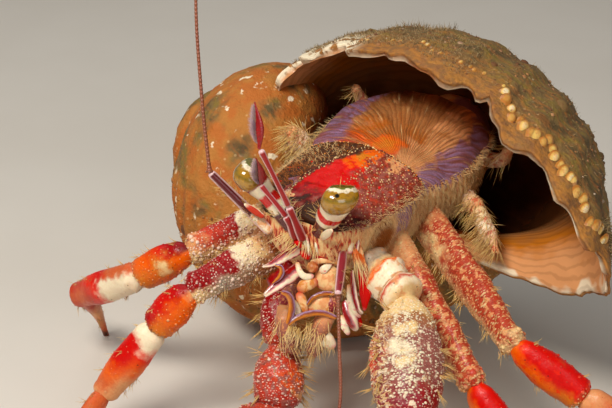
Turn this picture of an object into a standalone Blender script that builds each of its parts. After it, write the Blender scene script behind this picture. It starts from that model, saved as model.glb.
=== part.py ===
"""Great red hermit crab in a thin tun shell, life size, standing on its legs and shell.

Shapes are worked out in millimetres from the point between the eyes: x to the
animal's left, y to its rear, z up. At the end every mesh is moved so that the
middle of the whole model's base is at the origin, and is scaled to metres.
"""
import math
import random

import bmesh
import bpy
from mathutils import Matrix, Vector
from mathutils.bvhtree import BVHTree

MM = 0.001
GAP = 0.3
MERGE = 0.004
FLOOR = -39.4
UP = Vector((0, 0, 1))
FORWARD = Vector((0, -1, 0))
FAR = 120

# Colours: name -> (colour, roughness)
PAINT = {
    "crimson": ((0.55, 0.03, 0.02), 0.35),
    "red": ((0.70, 0.08, 0.02), 0.35),
    "orange": ((0.80, 0.26, 0.06), 0.40),
    "cream": ((0.80, 0.62, 0.45), 0.45),
    "tan": ((0.55, 0.36, 0.20), 0.60),
    "brown": ((0.25, 0.10, 0.05), 0.50),
    "eye": ((0.16, 0.19, 0.07), 0.05),
    "shell": ((0.42, 0.27, 0.13), 0.60),
}

# The shell: a log spiral. Sizes at its lip, shrinking with each turn back.
AXIS_TO_MOUTH = 19.5
MOUTH_HALF_WIDTH = 17.0
MOUTH_HALF_LENGTH = 33.0
SPIRE_TO_MOUTH = 55.0
MOUTH_CENTRE = Vector((7.2, 24.0, 2.8))
SPIRE_WAY = Vector((-0.95, 0.20, 0.10)).normalized()
LIP_WAY = Vector((0, -0.22, 1))
GROWTH_RADIAL = 1.95
GROWTH_AXIAL = 3.0
LIP_SWEEP = 0.045
SHOULDER_DROP = 5.5
SHELL_WALL = 1.8
TURNS = 3.0
HOLLOW_TURNS = 0.72
PILLAR_RADIUS = 3.0
PILLAR_LENGTH = 78.0
LAST_WHORL = 0.84
# Older whorls: first and last turn, rings, sides, and how far each lies inside the last whorl's own skin.
OLDER_WHORLS = ((0.78, 1.60, 13, 16, 0.28), (1.52, 2.30, 10, 12, 0.56), (2.22, TURNS, 7, 8, 0.73))
RIB_SIDES = 48
RIB_HEIGHT = 0.6

# The body: (y, half width, top, bottom) of each cross-section, and its cuts.
BODY_SECTIONS = (
    (-1.6, 4.6, 1.6, -4.5), (0.5, 7.2, 2.9, -7.5), (4, 8.9, 3.8, -9.5), (9, 10.0, 4.7, -10.8),
    (14, 10.4, 5.2, -11.2), (17.5, 10.5, 5.3, -11.4), (21, 11.8, 5.5, -11.5), (26, 12.9, 6.0, -11.4),
    (32, 12.8, 6.8, -11.0), (37, 11.4, 6.9, -10.0), (41, 8.6, 5.4, -8.2),
)
SHIELD_END = 17.5
SHIELD_RIM = 0.6
CARAPACE_RIM = -5.5

EYE_ROOTS = {"l": Vector((2.5, -0.6, 0.1)), "r": Vector((-1.9, -0.6, 0.4))}
EYE_TIP = Vector((7.0, -2.2, 6.3))
STALK_RADII = (1.5, 1.35, 2.0)
CORNEA_SIZE = (2.6, 2.1)
CORNEA_LENGTH = 2.1
# How far the cornea reaches below and above its own middle, in radii.
CORNEA_LOW = -0.25
CORNEA_HIGH = 0.985
ACICLE_ROOT = (3.6, -2.0, -1.2)
ACICLE_TIP = (7.0, -4.6, 2.4)
ACICLE_SIZES = ((1.1, 0.5), (1.2, 0.5), (0.8, 0.4), (0.2, 0.15))

# Walking legs: where each joint is, from the body to the tip.
LEGS = {
    "leg2_r": ((-5, 12, -7), (-14.4, -7.9, -11.4), (-20, -9.2, -18.7), (-27.5, -13.5, -31), (-27, -26, FLOOR)),
    "leg3_r": ((-6, 21, -6), (-20, 0, -10), (-27.8, -2.7, -15.5), (-43, 0, -25), (-46.5, 11, FLOOR)),
    "leg2_l": ((6, 14, -6), (27.3, 1.6, -18.9), (33.4, 0.8, -26.2), (44.5, -5, -32.5), (57, -11, FLOOR)),
    "leg3_l": ((7, 22, -5), (30.7, 7.2, -14.4), (40.8, 8.6, -20.2), (54, 12, -28), (67, 14, FLOOR)),
}
LEG_PARTS = ("merus", "carpus", "propodus", "dactyl")
# How far a dactyl bows outwards and upwards.
DACTYL_BEND = (0.8, 1.6)
# Half widths and half depths of each leg part at its start, fullest place and end.
LEG_SHAPE = {
    "merus": ((2.3, 3.4), (2.2, 3.3), (1.8, 2.3)),
    "carpus": ((1.7, 2.0), (2.3, 2.8), (2.0, 2.4)),
    "propodus": ((1.9, 2.3), (2.2, 2.6), (1.6, 1.9)),
    "dactyl": ((1.5, 1.8), (1.4, 1.6), (0.5, 0.5)),
}

# Claw legs: joints from the body to the root of the fingers, then the finger tips.
CLAWS = {
    "claw_l": ((7, 6, -6), (16, 1.8, -8.7), (23, -10, -19.6), (25, -19, -25.5), (26, -33, -31.8), (23, -47, -39.0)),
    "claw_r": ((-3.5, 8, -8), (-6.4, 2.8, -14.2), (-3.6, -1.0, -20.8), (-0.6, -6.0, -28.2), (-4, -17.5, -33.2),
               (-8, -29.5, -39.1)),
}
CLAW_PARTS = ("ischium", "merus", "carpus", "palm")
CLAW_SHAPE = {
    "ischium": ((2.6, 3.0), (3.0, 3.4), (3.0, 3.4)),
    "merus": ((3.4, 3.3), (5.2, 4.4), (4.0, 3.8)),
    "carpus": ((3.6, 3.6), (5.3, 4.8), (4.8, 4.2)),
    "palm": ((4.4, 3.8), (6.9, 5.2), (5.6, 4.2)),
}
FINGER_SHAPE = ((2.5, 2.5, 0.5), (3.4, 3.3, 0.6))
FINGER_BOW = 1.3
# How far each finger stands off the claw's middle line at its root and at its tip.
FINGER_SPREAD = (2.9, 0.75)
# The right claw is the smaller one.
RIGHT_SCALE = {"ischium": 0.62, "merus": 0.52, "carpus": 0.72, "palm": 0.72, "finger": 0.72}

# Small hind legs that hold the shell.
UPPER_HIND_SHAPE = ((1.9, 2.2), (2.0, 2.3), (1.5, 1.7))
LOWER_HIND_SHAPE = ((1.4, 1.6), (1.7, 1.9), (0.8, 0.9))
LAST_LEG_RADII = (1.5, 1.3, 1.2, 0.7)
HIND_LEGS = {
    "leg4_l": ((8, 29, -3), (15.5, 25.5, -4.5), (20.5, 21.5, -8.5)),
    "leg4_r": ((-8, 27, -3), (-13.5, 23.5, -1.8), (-15.2, 21.4, 2.8)),
    "leg5_l": ((5, 37, -2), (12.5, 38.5, -2.5), (15.5, 36.5, 1.0)),
    "leg5_r": ((-5, 37, 0), (-11.0, 38.5, 1.0), (-12.5, 36.5, 5.5)),
}

ABDOMEN_PATH = ((1, 41.0, -1.5), (0.5, 47.5, -5.5), (-2, 50.5, -14), (-7, 46, -23), (-13, 36, -28.5))
ABDOMEN_RADII = (6.6, 6.8, 6.0, 4.8, 2.6)

random_draw = random.Random(11)
forms = {}
frames = {}


def empty_scene():
    for thing in list(bpy.data.objects):
        bpy.data.objects.remove(thing, do_unlink=True)


def material(colour):
    paint = bpy.data.materials.get(colour)
    if paint is None:
        tint, roughness = PAINT[colour]
        paint = bpy.data.materials.new(colour)
        paint.use_nodes = True
        shader = paint.node_tree.nodes["Principled BSDF"]
        shader.inputs["Base Color"].default_value = (*tint, 1)
        shader.inputs["Roughness"].default_value = roughness
        shader.inputs["Metallic"].default_value = 0.0
    return paint


def make_object(name, verts, faces, colour="crimson"):
    mesh = bpy.data.meshes.new(name)
    mesh.from_pydata([tuple(v) for v in verts], [], faces)
    mesh.materials.append(material(colour))
    shape = bpy.data.objects.new(name, mesh)
    bpy.context.scene.collection.objects.link(shape)
    return shape


def loft(name, rings, colour):
    """One closed mesh through rings of equal point counts, with a flat cap at each end."""
    sides = len(rings[0])
    verts = [p for ring in rings for p in ring]
    faces = []
    for i in range(len(rings) - 1):
        for j in range(sides):
            k = (j + 1) % sides
            faces.append((i * sides + j, i * sides + k, (i + 1) * sides + k, (i + 1) * sides + j))
    faces.append(tuple(reversed(range(sides))))
    faces.append(tuple(range((len(rings) - 1) * sides, len(rings) * sides)))
    shape = make_object(name, verts, faces, colour)
    point_outwards(shape)
    return shape


def point_outwards(shape):
    work = bmesh.new()
    work.from_mesh(shape.data)
    bmesh.ops.recalc_face_normals(work, faces=work.faces)
    if work.calc_volume(signed=True) < 0:
        bmesh.ops.reverse_faces(work, faces=work.faces)
    work.to_mesh(shape.data)
    work.free()


def ease(u):
    return 0.5 - 0.5 * math.cos(math.pi * min(max(u, 0), 1))


def profile(u, start, belly, end, belly_at=0.5):
    """A size along a part: start, then fullest at belly_at, then end."""
    if u < belly_at:
        return start + (belly - start) * ease(u / belly_at)
    return belly + (end - belly) * ease((u - belly_at) / (1 - belly_at))


def smooth_path(points, count):
    """count points, evenly spread along a Catmull-Rom curve through the given points."""
    knots = [Vector(p) for p in points]
    knots = [knots[0] * 2 - knots[1]] + knots + [knots[-1] * 2 - knots[-2]]
    dense = []
    for i in range(1, len(knots) - 2):
        a, b, c, d = knots[i - 1:i + 3]
        for step in range(24):
            t = step / 24
            dense.append(0.5 * (2 * b + (c - a) * t + (2 * a - 5 * b + 4 * c - d) * t * t
                                + (3 * b - a - 3 * c + d) * t ** 3))
    dense.append(knots[-2])
    lengths = [0.0]
    for p, q in zip(dense, dense[1:]):
        lengths.append(lengths[-1] + (q - p).length)
    out = []
    at = 0
    for i in range(count):
        want = lengths[-1] * i / (count - 1)
        while at < len(lengths) - 2 and lengths[at + 1] < want:
            at += 1
        share = (want - lengths[at]) / (lengths[at + 1] - lengths[at])
        out.append(dense[at].lerp(dense[at + 1], share))
    return out


def tube(name, path, sizes, colour, sides=8, up=UP, start_plane=None, end_plane=None, reach=4.0):
    """A lofted tube of oval rings. A plane given for an end tilts the rings near it."""
    path = [Vector(p) for p in path]
    run = [0.0]
    for p, q in zip(path, path[1:]):
        run.append(run[-1] + (q - p).length)
    rings = []
    frame = []
    for i, centre in enumerate(path):
        along = (path[min(i + 1, len(path) - 1)] - path[max(i - 1, 0)]).normalized()
        across = along.cross(Vector(up)).normalized()
        over = across.cross(along)
        tilt = along
        if start_plane is not None and run[i] < reach:
            tilt = start_plane.lerp(along, run[i] / reach).normalized()
        if end_plane is not None and run[-1] - run[i] < reach:
            tilt = end_plane.lerp(along, (run[-1] - run[i]) / reach).normalized()
        half_width, half_depth = sizes[i]
        ring = []
        for j in range(sides):
            angle = 2 * math.pi * (j + 0.5) / sides
            offset = across * half_width * math.cos(angle) + over * half_depth * math.sin(angle)
            offset -= along * offset.dot(tilt) / along.dot(tilt)
            ring.append(centre + offset)
        rings.append(ring)
        frame.append((centre, along, across, over))
    shape = loft(name, rings, colour)
    forms[name] = shape
    frames[name] = frame
    return shape


def stem(name, points, radii, after, colour, sides):
    """A round, bent stalk through points whose far end is cut for the piece that goes on to after."""
    count = 9
    path = smooth_path(points, count)
    plane = joint_plane(path[-2], path[-1], Vector(after))
    path[-1] = path[-1] - (path[-1] - path[-2]).normalized() * GAP / 2
    sizes = [profile_list(radii, i / (count - 1)) for i in range(count)]
    return tube(name, path, [(r, r) for r in sizes], colour, sides, end_plane=plane, reach=0.5)


def joint_plane(before, here, after):
    return ((here - before).normalized() + (after - here).normalized()).normalized()


def segment(name, joints, index, shape, colour, sides=8, scale=1.0, steps=7, belly_at=0.55, bow=0.0, up=UP):
    """One stiff part of a limb between two joints, its ends cut on the joints' planes."""
    start, end = joints[index], joints[index + 1]
    way = (end - start).normalized()
    first = joint_plane(joints[index - 1], start, end) if index else way
    last = joint_plane(start, end, joints[index + 2]) if index + 2 < len(joints) else way
    start = start + way * (GAP / 2 / way.dot(first) if index else 0)
    end = end - way * (GAP / 2 / way.dot(last) if index + 2 < len(joints) else 0)
    rise = way.cross(Vector(up)).cross(way).normalized() * bow
    path = []
    sizes = []
    for i in range(steps):
        u = i / (steps - 1)
        path.append(start.lerp(end, u) + rise * math.sin(math.pi * u))
        sizes.append([scale * profile(u, *(s[k] for s in shape), belly_at) for k in range(2)])
    reach = (end - start).length * 0.4
    return tube(name, path, sizes, colour, sides, up, first, last, reach)


def use_boolean(shape, other, operation, solver="EXACT"):
    tool = shape.modifiers.new("cut", "BOOLEAN")
    tool.operation = operation
    tool.solver = solver
    if isinstance(other, bpy.types.Collection):
        tool.operand_type = "COLLECTION"
        tool.collection = other
    else:
        tool.object = other
    bpy.context.view_layer.update()
    seen = shape.evaluated_get(bpy.context.evaluated_depsgraph_get())
    result = bpy.data.meshes.new_from_object(seen)
    shape.modifiers.clear()
    old = shape.data
    shape.data = result
    bpy.data.meshes.remove(old)


def islands(work):
    todo = set(work.faces)
    found = []
    while todo:
        front = [todo.pop()]
        group = list(front)
        while front:
            face = front.pop()
            for edge in face.edges:
                for near in edge.link_faces:
                    if near in todo:
                        todo.remove(near)
                        front.append(near)
                        group.append(near)
        found.append(group)
    return found


def keep_largest(shape):
    """Keeps only the surface that spans the largest box."""
    work = bmesh.new()
    work.from_mesh(shape.data)
    groups = islands(work)

    def span(group):
        points = [v.co for face in group for v in face.verts]
        return sum(max(p[k] for p in points) - min(p[k] for p in points) for k in range(3))

    if len(groups) > 1:
        biggest = max(groups, key=span)
        chosen = set(biggest)
        spare = [face for face in work.faces if face not in chosen]
        bmesh.ops.delete(work, geom=spare, context="FACES")
    bmesh.ops.triangulate(work, faces=work.faces)
    bmesh.ops.remove_doubles(work, verts=work.verts, dist=MERGE)
    bmesh.ops.dissolve_degenerate(work, edges=work.edges, dist=MERGE)
    bmesh.ops.triangulate(work, faces=work.faces)
    work.to_mesh(shape.data)
    work.free()


def fatter_copy(shape, extra):
    """A copy of a closed mesh, pushed out along its normals."""
    mesh = shape.data.copy()
    work = bmesh.new()
    work.from_mesh(mesh)
    bmesh.ops.triangulate(work, faces=work.faces)
    work.normal_update()
    moves = []
    for vert in work.verts:
        normal = vert.normal
        lean = min([normal.dot(face.normal) for face in vert.link_faces] + [1.0])
        moves.append(vert.co + normal * extra / max(lean, 0.55))
    for vert, place in zip(work.verts, moves):
        vert.co = place
    work.to_mesh(mesh)
    work.free()
    copy = bpy.data.objects.new("fat", mesh)
    bpy.context.scene.collection.objects.link(copy)
    return copy


def remove(shape):
    bpy.data.objects.remove(shape, do_unlink=True)


def clear_of(name, *neighbours, gap=GAP * 1.1):
    """Cuts a node back so that it keeps the gap to its neighbours."""
    for other in neighbours:
        tool = fatter_copy(forms[other], gap)
        use_boolean(forms[name], tool, "DIFFERENCE")
        remove(tool)
        keep_largest(forms[name])


def is_closed(shape):
    work = bmesh.new()
    work.from_mesh(shape.data)
    closed = bool(work.faces) and all(len(edge.link_faces) == 2 for edge in work.edges)
    work.free()
    return closed


def fuse(shape, pieces):
    """Joins closed pieces to a node with one union."""
    before = shape.data.copy()
    group = bpy.data.collections.new("pieces")
    bpy.context.scene.collection.children.link(group)
    for piece in pieces:
        bpy.context.scene.collection.objects.unlink(piece)
        group.objects.link(piece)
    use_boolean(shape, group, "UNION")
    keep_largest(shape)
    if not is_closed(shape):
        shape.data = before
        use_boolean(shape, group, "UNION", "MANIFOLD")
        keep_largest(shape)
    for piece in pieces:
        remove(piece)
    bpy.data.collections.remove(group)


def block(low, high):
    """A box between two corners, used to part the body."""
    corners = [Vector((x, y, z)) for x in (low[0], high[0]) for y in (low[1], high[1]) for z in (low[2], high[2])]
    faces = [(0, 1, 3, 2), (4, 6, 7, 5), (0, 4, 5, 1), (2, 3, 7, 6), (0, 2, 6, 4), (1, 5, 7, 3)]
    shape = make_object("block", corners, faces)
    point_outwards(shape)
    return shape


def stand_flat(name):
    """Cuts a node level with the floor, which leaves a small flat where it touches."""
    under = block((-FAR, -FAR, FLOOR - FAR), (FAR, FAR, FLOOR))
    use_boolean(forms[name], under, "DIFFERENCE")
    remove(under)
    keep_largest(forms[name])


# The shell

def shell_axes():
    lip = (LIP_WAY - SPIRE_WAY * LIP_WAY.dot(SPIRE_WAY)).normalized()
    apex = MOUTH_CENTRE + SPIRE_WAY * SPIRE_TO_MOUTH - lip * AXIS_TO_MOUTH
    return apex, lip, SPIRE_WAY.cross(lip)


def shell_ring(turn, inset, sides):
    """One growth line: an oval round the whorl, swept forward at the siphon end."""
    apex, lip, back = shell_axes()
    ring = []
    for j in range(sides):
        angle = 2 * math.pi * j / sides
        here = turn - LIP_SWEEP * max(0.0, math.sin(angle)) ** 1.5
        radial = GROWTH_RADIAL ** -here
        axial = GROWTH_AXIAL ** -here
        out = lip * math.cos(2 * math.pi * here) + back * math.sin(2 * math.pi * here)
        inner = inset / radial
        reach = AXIS_TO_MOUTH + (MOUTH_HALF_WIDTH - inner) * math.cos(angle)
        reach += SHOULDER_DROP * min(0.0, math.sin(angle))
        drop = SPIRE_TO_MOUTH + (MOUTH_HALF_LENGTH - inner) * math.sin(angle)
        ring.append(apex + out * reach * radial - SPIRE_WAY * drop * axial)
    return ring


def whorl(name, first, last, rings, sides, inset):
    turns = [first + (last - first) * i / (rings - 1) for i in range(rings)]
    return loft(name, [shell_ring(t, inset, sides) for t in turns], "shell")


def ribbed_ring(turn):
    """A growth line of the last whorl: every other point on its outer side stands out as a rib."""
    plain = shell_ring(turn, 0.0, RIB_SIDES)
    proud = shell_ring(turn, -RIB_HEIGHT, RIB_SIDES)
    inner = RIB_SIDES // 4
    ring = []
    for j in range(RIB_SIDES):
        outside = j < inner or j > RIB_SIDES - inner
        if outside or j % 4 == 0:
            ring.append(proud[j] if outside and j % 2 else plain[j])
    return ring


def make_shell():
    rings = 17
    shell = loft("shell", [ribbed_ring(LAST_WHORL * i / (rings - 1)) for i in range(rings)], "shell")
    hollow = whorl("hollow", -0.04, HOLLOW_TURNS, 14, 18, SHELL_WALL)
    use_boolean(shell, hollow, "DIFFERENCE")
    remove(hollow)
    older = [whorl("older", *size) for size in OLDER_WHORLS]
    apex, lip, back = shell_axes()
    steps = 6
    shares = [0.06 + 0.94 * i / (steps - 1) for i in range(steps)]
    pillar = [apex - SPIRE_WAY * PILLAR_LENGTH * share for share in shares]
    radii = [PILLAR_RADIUS * share for share in shares]
    older.append(tube("pillar", pillar, [(r, r) for r in radii], "shell", 8))
    del forms["pillar"]
    fuse(shell, older)
    forms["shell"] = shell
    stand_flat("shell")


# The body

def make_body():
    """The whole head and thorax, parted into shield, rear carapace and thorax."""
    rings = []
    sides = 20
    for y, half_width, top, bottom in BODY_SECTIONS:
        ring = []
        for j in range(sides):
            angle = 2 * math.pi * (j + 0.5) / sides
            height = top if math.sin(angle) > 0 else -bottom
            ring.append(Vector((half_width * math.cos(angle), y, height * math.sin(angle))))
        rings.append(ring)
    whole = loft("whole", rings, "crimson")
    parts = {
        "shield": (((-FAR, -FAR, SHIELD_RIM), (FAR, SHIELD_END, FAR)), "red"),
        "rear_carapace": (((-FAR, SHIELD_END + GAP, CARAPACE_RIM), (FAR, FAR, FAR)), "orange"),
    }
    for name, (box, colour) in parts.items():
        piece = make_object(name, [v.co for v in whole.data.vertices],
                            [tuple(f.vertices) for f in whole.data.polygons], colour)
        cutter = block(*box)
        use_boolean(piece, cutter, "INTERSECT")
        remove(cutter)
        keep_largest(piece)
        forms[name] = piece
    forms["body"] = make_object("body", [v.co for v in whole.data.vertices],
                                [tuple(f.vertices) for f in whole.data.polygons])
    whole.name = "thorax"
    forms["thorax"] = whole
    for box in (((-FAR, -FAR, SHIELD_RIM - GAP), (FAR, SHIELD_END + GAP / 2, FAR)),
                ((-FAR, SHIELD_END, CARAPACE_RIM - GAP), (FAR, FAR, FAR))):
        cutter = block(*box)
        use_boolean(whole, cutter, "DIFFERENCE")
        remove(cutter)
    keep_largest(whole)


def make_abdomen():
    count = 12
    path = smooth_path(ABDOMEN_PATH, count)
    radii = [profile_list(ABDOMEN_RADII, i / (count - 1)) for i in range(count)]
    radii[0] *= 0.9
    radii[-1] *= 0.6
    tube("abdomen", path, [(r, r * 0.9) for r in radii], "orange", 10, Vector((1, 0, 0)))


def profile_list(values, u):
    place = u * (len(values) - 1)
    low = min(int(place), len(values) - 2)
    return values[low] + (values[low + 1] - values[low]) * (place - low)


def mirrored(point, side):
    return Vector((point[0] * side, point[1], point[2]))


def make_eyes():
    for tag, side in (("l", 1), ("r", -1)):
        root = EYE_ROOTS[tag]
        tip = mirrored(EYE_TIP, side)
        way = (tip - root).normalized()
        steps = 7
        path = [root.lerp(tip, i / (steps - 1)) for i in range(steps)]
        sizes = [profile(i / (steps - 1), *STALK_RADII) for i in range(steps)]
        tube("eyestalk_" + tag, path, [(s, s) for s in sizes], "crimson", 12)
        centre = tip + way * (GAP - CORNEA_LOW * CORNEA_LENGTH)
        path = []
        sizes = []
        steps = 8
        for i in range(steps):
            lift = CORNEA_LOW + (CORNEA_HIGH - CORNEA_LOW) * math.sin(math.pi / 2 * i / (steps - 1))
            path.append(centre + way * CORNEA_LENGTH * lift)
            sizes.append([size * math.sqrt(1 - lift * lift) for size in CORNEA_SIZE])
        tube("cornea_" + tag, path, sizes, "eye", 14)
        foot = mirrored(ACICLE_ROOT, side)
        point = mirrored(ACICLE_TIP, side)
        path = [foot.lerp(point, u) for u in (0, 0.4, 0.75, 1)]
        tube("acicle_" + tag, path, ACICLE_SIZES, "cream", 8, way)


ANTENNULE_RADII = (0.95, 0.85, 0.7, 0.6, 0.62)
BRUSH_SHAPE = ((0.55, 0.55), (0.8, 0.45), (0.2, 0.2))
ANTENNULES = {
    "l": ((0.9, -1.6, -2.2), (0.6, -4.6, 4.8), (-2.8, -7.0, 14.4), (-3.9, -6.2, 20.4)),
    "r": ((-0.9, -1.6, -2.2), (-1.2, -3.6, 2.7), (-4.1, -4.7, 7.2), (-3.8, -6.2, 12.0)),
}


def make_antennules():
    for tag, joints in ANTENNULES.items():
        joints = [Vector(p) for p in joints]
        stem("antennule_" + tag, joints[:3], ANTENNULE_RADII, joints[3], "crimson", 6)
        segment("antennule_brush_" + tag, joints, 2, BRUSH_SHAPE, "crimson", 6, steps=5, belly_at=0.3)


ANTENNAE = {
    "l": ((6.2, 0.9, -3.0), (10.4, -7.8, -4.6), (12.8, -11.4, -10.6), (15, -15, -17.3), (15.6, -20, -24.5),
          (14.2, -28, -30), (11.5, -40, -33)),
    "r": ((-4.6, -1.2, -2.2), (-12.7, -4.7, 7.0), (-15.0, -2.8, 17), (-17.5, 0, 30), (-19.5, 4.5, 42),
          (-22, 11, 52), (-26, 20, 60)),
}
ANTENNA_BASE_SHAPE = ((1.15, 1.15), (0.95, 0.95), (0.7, 0.7))
FLAGELLUM_START = 0.42
FLAGELLUM_END = 0.25
FLAGELLUM_LENGTHS = 2


def make_antennae():
    for tag, points in ANTENNAE.items():
        points = [Vector(p) for p in points]
        segment("antenna_base_" + tag, points[:3], 0, ANTENNA_BASE_SHAPE, "crimson", 8, steps=5)
        count = 25
        path = smooth_path(points[1:], count)
        way = (path[1] - path[0]).normalized()
        plane = joint_plane(*points[:3])
        path[0] = path[0] + way * GAP / 2 / way.dot(plane)
        cut = (count - 1) // FLAGELLUM_LENGTHS
        for piece in range(FLAGELLUM_LENGTHS):
            run = path[piece * cut:(piece + 1) * cut + 1]
            if piece:
                run[0] = run[0] + (run[1] - run[0]).normalized() * GAP
            sizes = []
            for i in range(len(run)):
                u = (piece * cut + i) / (count - 1)
                sizes.append(FLAGELLUM_START + (FLAGELLUM_END - FLAGELLUM_START) * u)
            name = "flagellum%d_%s" % (piece + 1, tag)
            tube(name, run, [(s, s) for s in sizes], "brown", 6, FORWARD if tag == "r" else Vector((1, 0, 0)),
                 start_plane=None if piece else plane, reach=1.0)


MAXILLIPEDS = {
    "l": ((3.4, 4.0, -8.6), (5.4, -1.6, -11.6), (4.4, -3.4, -15.8), (2.6, -1.6, -20.2)),
    "r": ((-2.2, 4.0, -9.0), (-1.4, -2.4, -12.4), (-0.4, -4.2, -16.4), (0.4, -2.2, -20.4)),
}
MAXILLIPED_UPPER = ((1.5, 1.6), (1.5, 1.7), (1.2, 1.3))
MAXILLIPED_LOWER = (1.25, 1.45, 1.1, 1.4, 0.6)
MOUTH_PATH = ((0.6, 1.5, -6.0), (0.8, -1.6, -7.6), (0.8, -2.6, -9.4))
MOUTH_SIZES = ((2.4, 1.6), (2.5, 1.7), (2.4, 1.7), (2.2, 1.6), (1.8, 1.3), (1.2, 0.9))


def make_mouth():
    for tag, joints in MAXILLIPEDS.items():
        joints = [Vector(p) for p in joints]
        segment("maxilliped_%s_upper" % tag, joints, 0, MAXILLIPED_UPPER, "crimson", 8, steps=5)
        count = 9
        path = smooth_path(joints[1:], count)
        plane = joint_plane(*joints[:3])
        path[0] = path[0] + (path[1] - path[0]).normalized() * GAP
        radii = [profile_list(MAXILLIPED_LOWER, i / (count - 1)) for i in range(count)]
        tube("maxilliped_%s_lower" % tag, path, [(r, r) for r in radii], "cream", 8, start_plane=plane, reach=1.0)
    tube("mouth", smooth_path(MOUTH_PATH, len(MOUTH_SIZES)), MOUTH_SIZES, "cream", 10)


def make_walking_legs():
    colours = ("crimson", "red", "orange", "orange")
    for leg, joints in LEGS.items():
        joints = [Vector(p) for p in joints]
        for index, part in enumerate(LEG_PARTS[:3]):
            segment(leg + "_" + part, joints, index, LEG_SHAPE[part], colours[index], 10)
        start, tip = joints[3], joints[4]
        way = (tip - start).normalized()
        plane = joint_plane(joints[2], start, tip)
        shape = LEG_SHAPE["dactyl"]
        steps = 8
        first = start + way * GAP / 2 / way.dot(plane)
        bend = Vector((way.x, way.y, 0)).normalized() * DACTYL_BEND[0] + UP * DACTYL_BEND[1]
        path = []
        sizes = []
        for i in range(steps):
            u = i / (steps - 1)
            path.append(first.lerp(tip, u) + bend * math.sin(math.pi * u))
            sizes.append([profile(u, *(s[k] for s in shape), 0.3) for k in range(2)])
        tube(leg + "_dactyl", path, sizes, colours[3], 8, UP, plane, -UP, 4.0)


def make_claws():
    for claw, joints in CLAWS.items():
        joints = [Vector(p) for p in joints]
        tag = claw[-1]
        scales = dict.fromkeys(RIGHT_SCALE, 1.0) if tag == "l" else RIGHT_SCALE
        limb = joints[:5]
        for index, part in enumerate(CLAW_PARTS):
            segment(claw + "_" + part, limb + [joints[5]], index, CLAW_SHAPE[part], "crimson", 12, scales[part])
        scale = scales["finger"]
        knuckle, tips = joints[4], joints[5]
        way = (tips - knuckle).normalized()
        across = way.cross(UP).normalized()
        plane = joint_plane(joints[3], knuckle, tips)
        for finger, lean in (("fixed_finger", 1), ("dactyl", -1)):
            root = knuckle + across * lean * FINGER_SPREAD[0] * scale
            root += way * (GAP / 2 - (root - knuckle).dot(plane)) / way.dot(plane)
            tip = tips + across * lean * FINGER_SPREAD[1] * scale
            path = []
            sizes = []
            steps = 7
            for i in range(steps):
                u = i / (steps - 1)
                path.append(root.lerp(tip, u) + across * lean * FINGER_BOW * scale * math.sin(math.pi * u))
                sizes.append([scale * profile(u, *size, 0.25) for size in FINGER_SHAPE])
            tube(claw + "_" + finger, path, sizes, "crimson", 10, UP, plane)
            stand_flat(claw + "_" + finger)


def make_hind_legs():
    for leg, joints in HIND_LEGS.items():
        joints = [Vector(p) for p in joints]
        if leg.startswith("leg5"):
            count = 8
            path = smooth_path(joints, count)
            radii = [profile_list(LAST_LEG_RADII, i / (count - 1)) for i in range(count)]
            tube(leg, path, [(r, r) for r in radii], "cream", 8)
            continue
        segment(leg + "_upper", joints, 0, UPPER_HIND_SHAPE, "cream", 8, steps=5)
        segment(leg + "_lower", joints, 1, LOWER_HIND_SHAPE, "cream", 8, steps=6)


# Spines, granules and bristles

def on_surface(name, tree, u, angle):
    """The place and outward way where a ray from a part's middle leaves its surface."""
    frame = frames[name]
    place = u * (len(frame) - 1)
    low = min(int(place), len(frame) - 2)
    share = place - low
    centre, along, across, over = (a.lerp(b, share) for a, b in zip(frame[low], frame[low + 1]))
    ray = across * math.cos(angle) + over * math.sin(angle)
    hit = tree.ray_cast(centre, ray.normalized())
    return hit[0], hit[1], along.normalized()


def spike(root, way, length, radius, sides=4, sink=0.45, blunt=0.0):
    """A tapered spine, or a granule when it is blunt, sunk into what it grows from."""
    way = way.normalized()
    across = way.orthogonal().normalized()
    over = way.cross(across)

    def ring(at, size):
        return [root + way * at + (across * math.cos(2 * math.pi * j / sides)
                                   + over * math.sin(2 * math.pi * j / sides)) * size for j in range(sides)]

    verts = ring(-sink, radius)
    faces = [tuple(reversed(range(sides)))]
    if blunt:
        verts += ring(length, radius * blunt)
        faces += [(j, (j + 1) % sides, sides + (j + 1) % sides, sides + j) for j in range(sides)]
        faces.append(tuple(range(sides, 2 * sides)))
    else:
        verts.append(root + way * length)
        faces += [(j, (j + 1) % sides, sides) for j in range(sides)]
    shape = make_object("spike", verts, faces)
    point_outwards(shape)
    return shape


def tree_of(shape):
    mesh = shape.data
    mesh.calc_loop_triangles()
    return BVHTree.FromPolygons([v.co for v in mesh.vertices], [tuple(t.vertices) for t in mesh.loop_triangles])


def is_free(points, others):
    for point in points:
        if point.z < FLOOR + 2 * GAP:
            return False
        for tree in others:
            if tree.find_nearest(point, 2 * GAP)[0] is not None:
                return False
    return True


def box_of(shape):
    points = [v.co for v in shape.data.vertices]
    return [(min(p[k] for p in points), max(p[k] for p in points)) for k in range(3)]


def near_trees(name, trees, boxes, reach):
    mine = boxes[name]
    found = []
    for other, tree in trees.items():
        theirs = boxes[other]
        if other != name and all(mine[k][0] - reach < theirs[k][1] and theirs[k][0] - reach < mine[k][1]
                                 for k in range(3)):
            found.append(tree)
    return found


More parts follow.
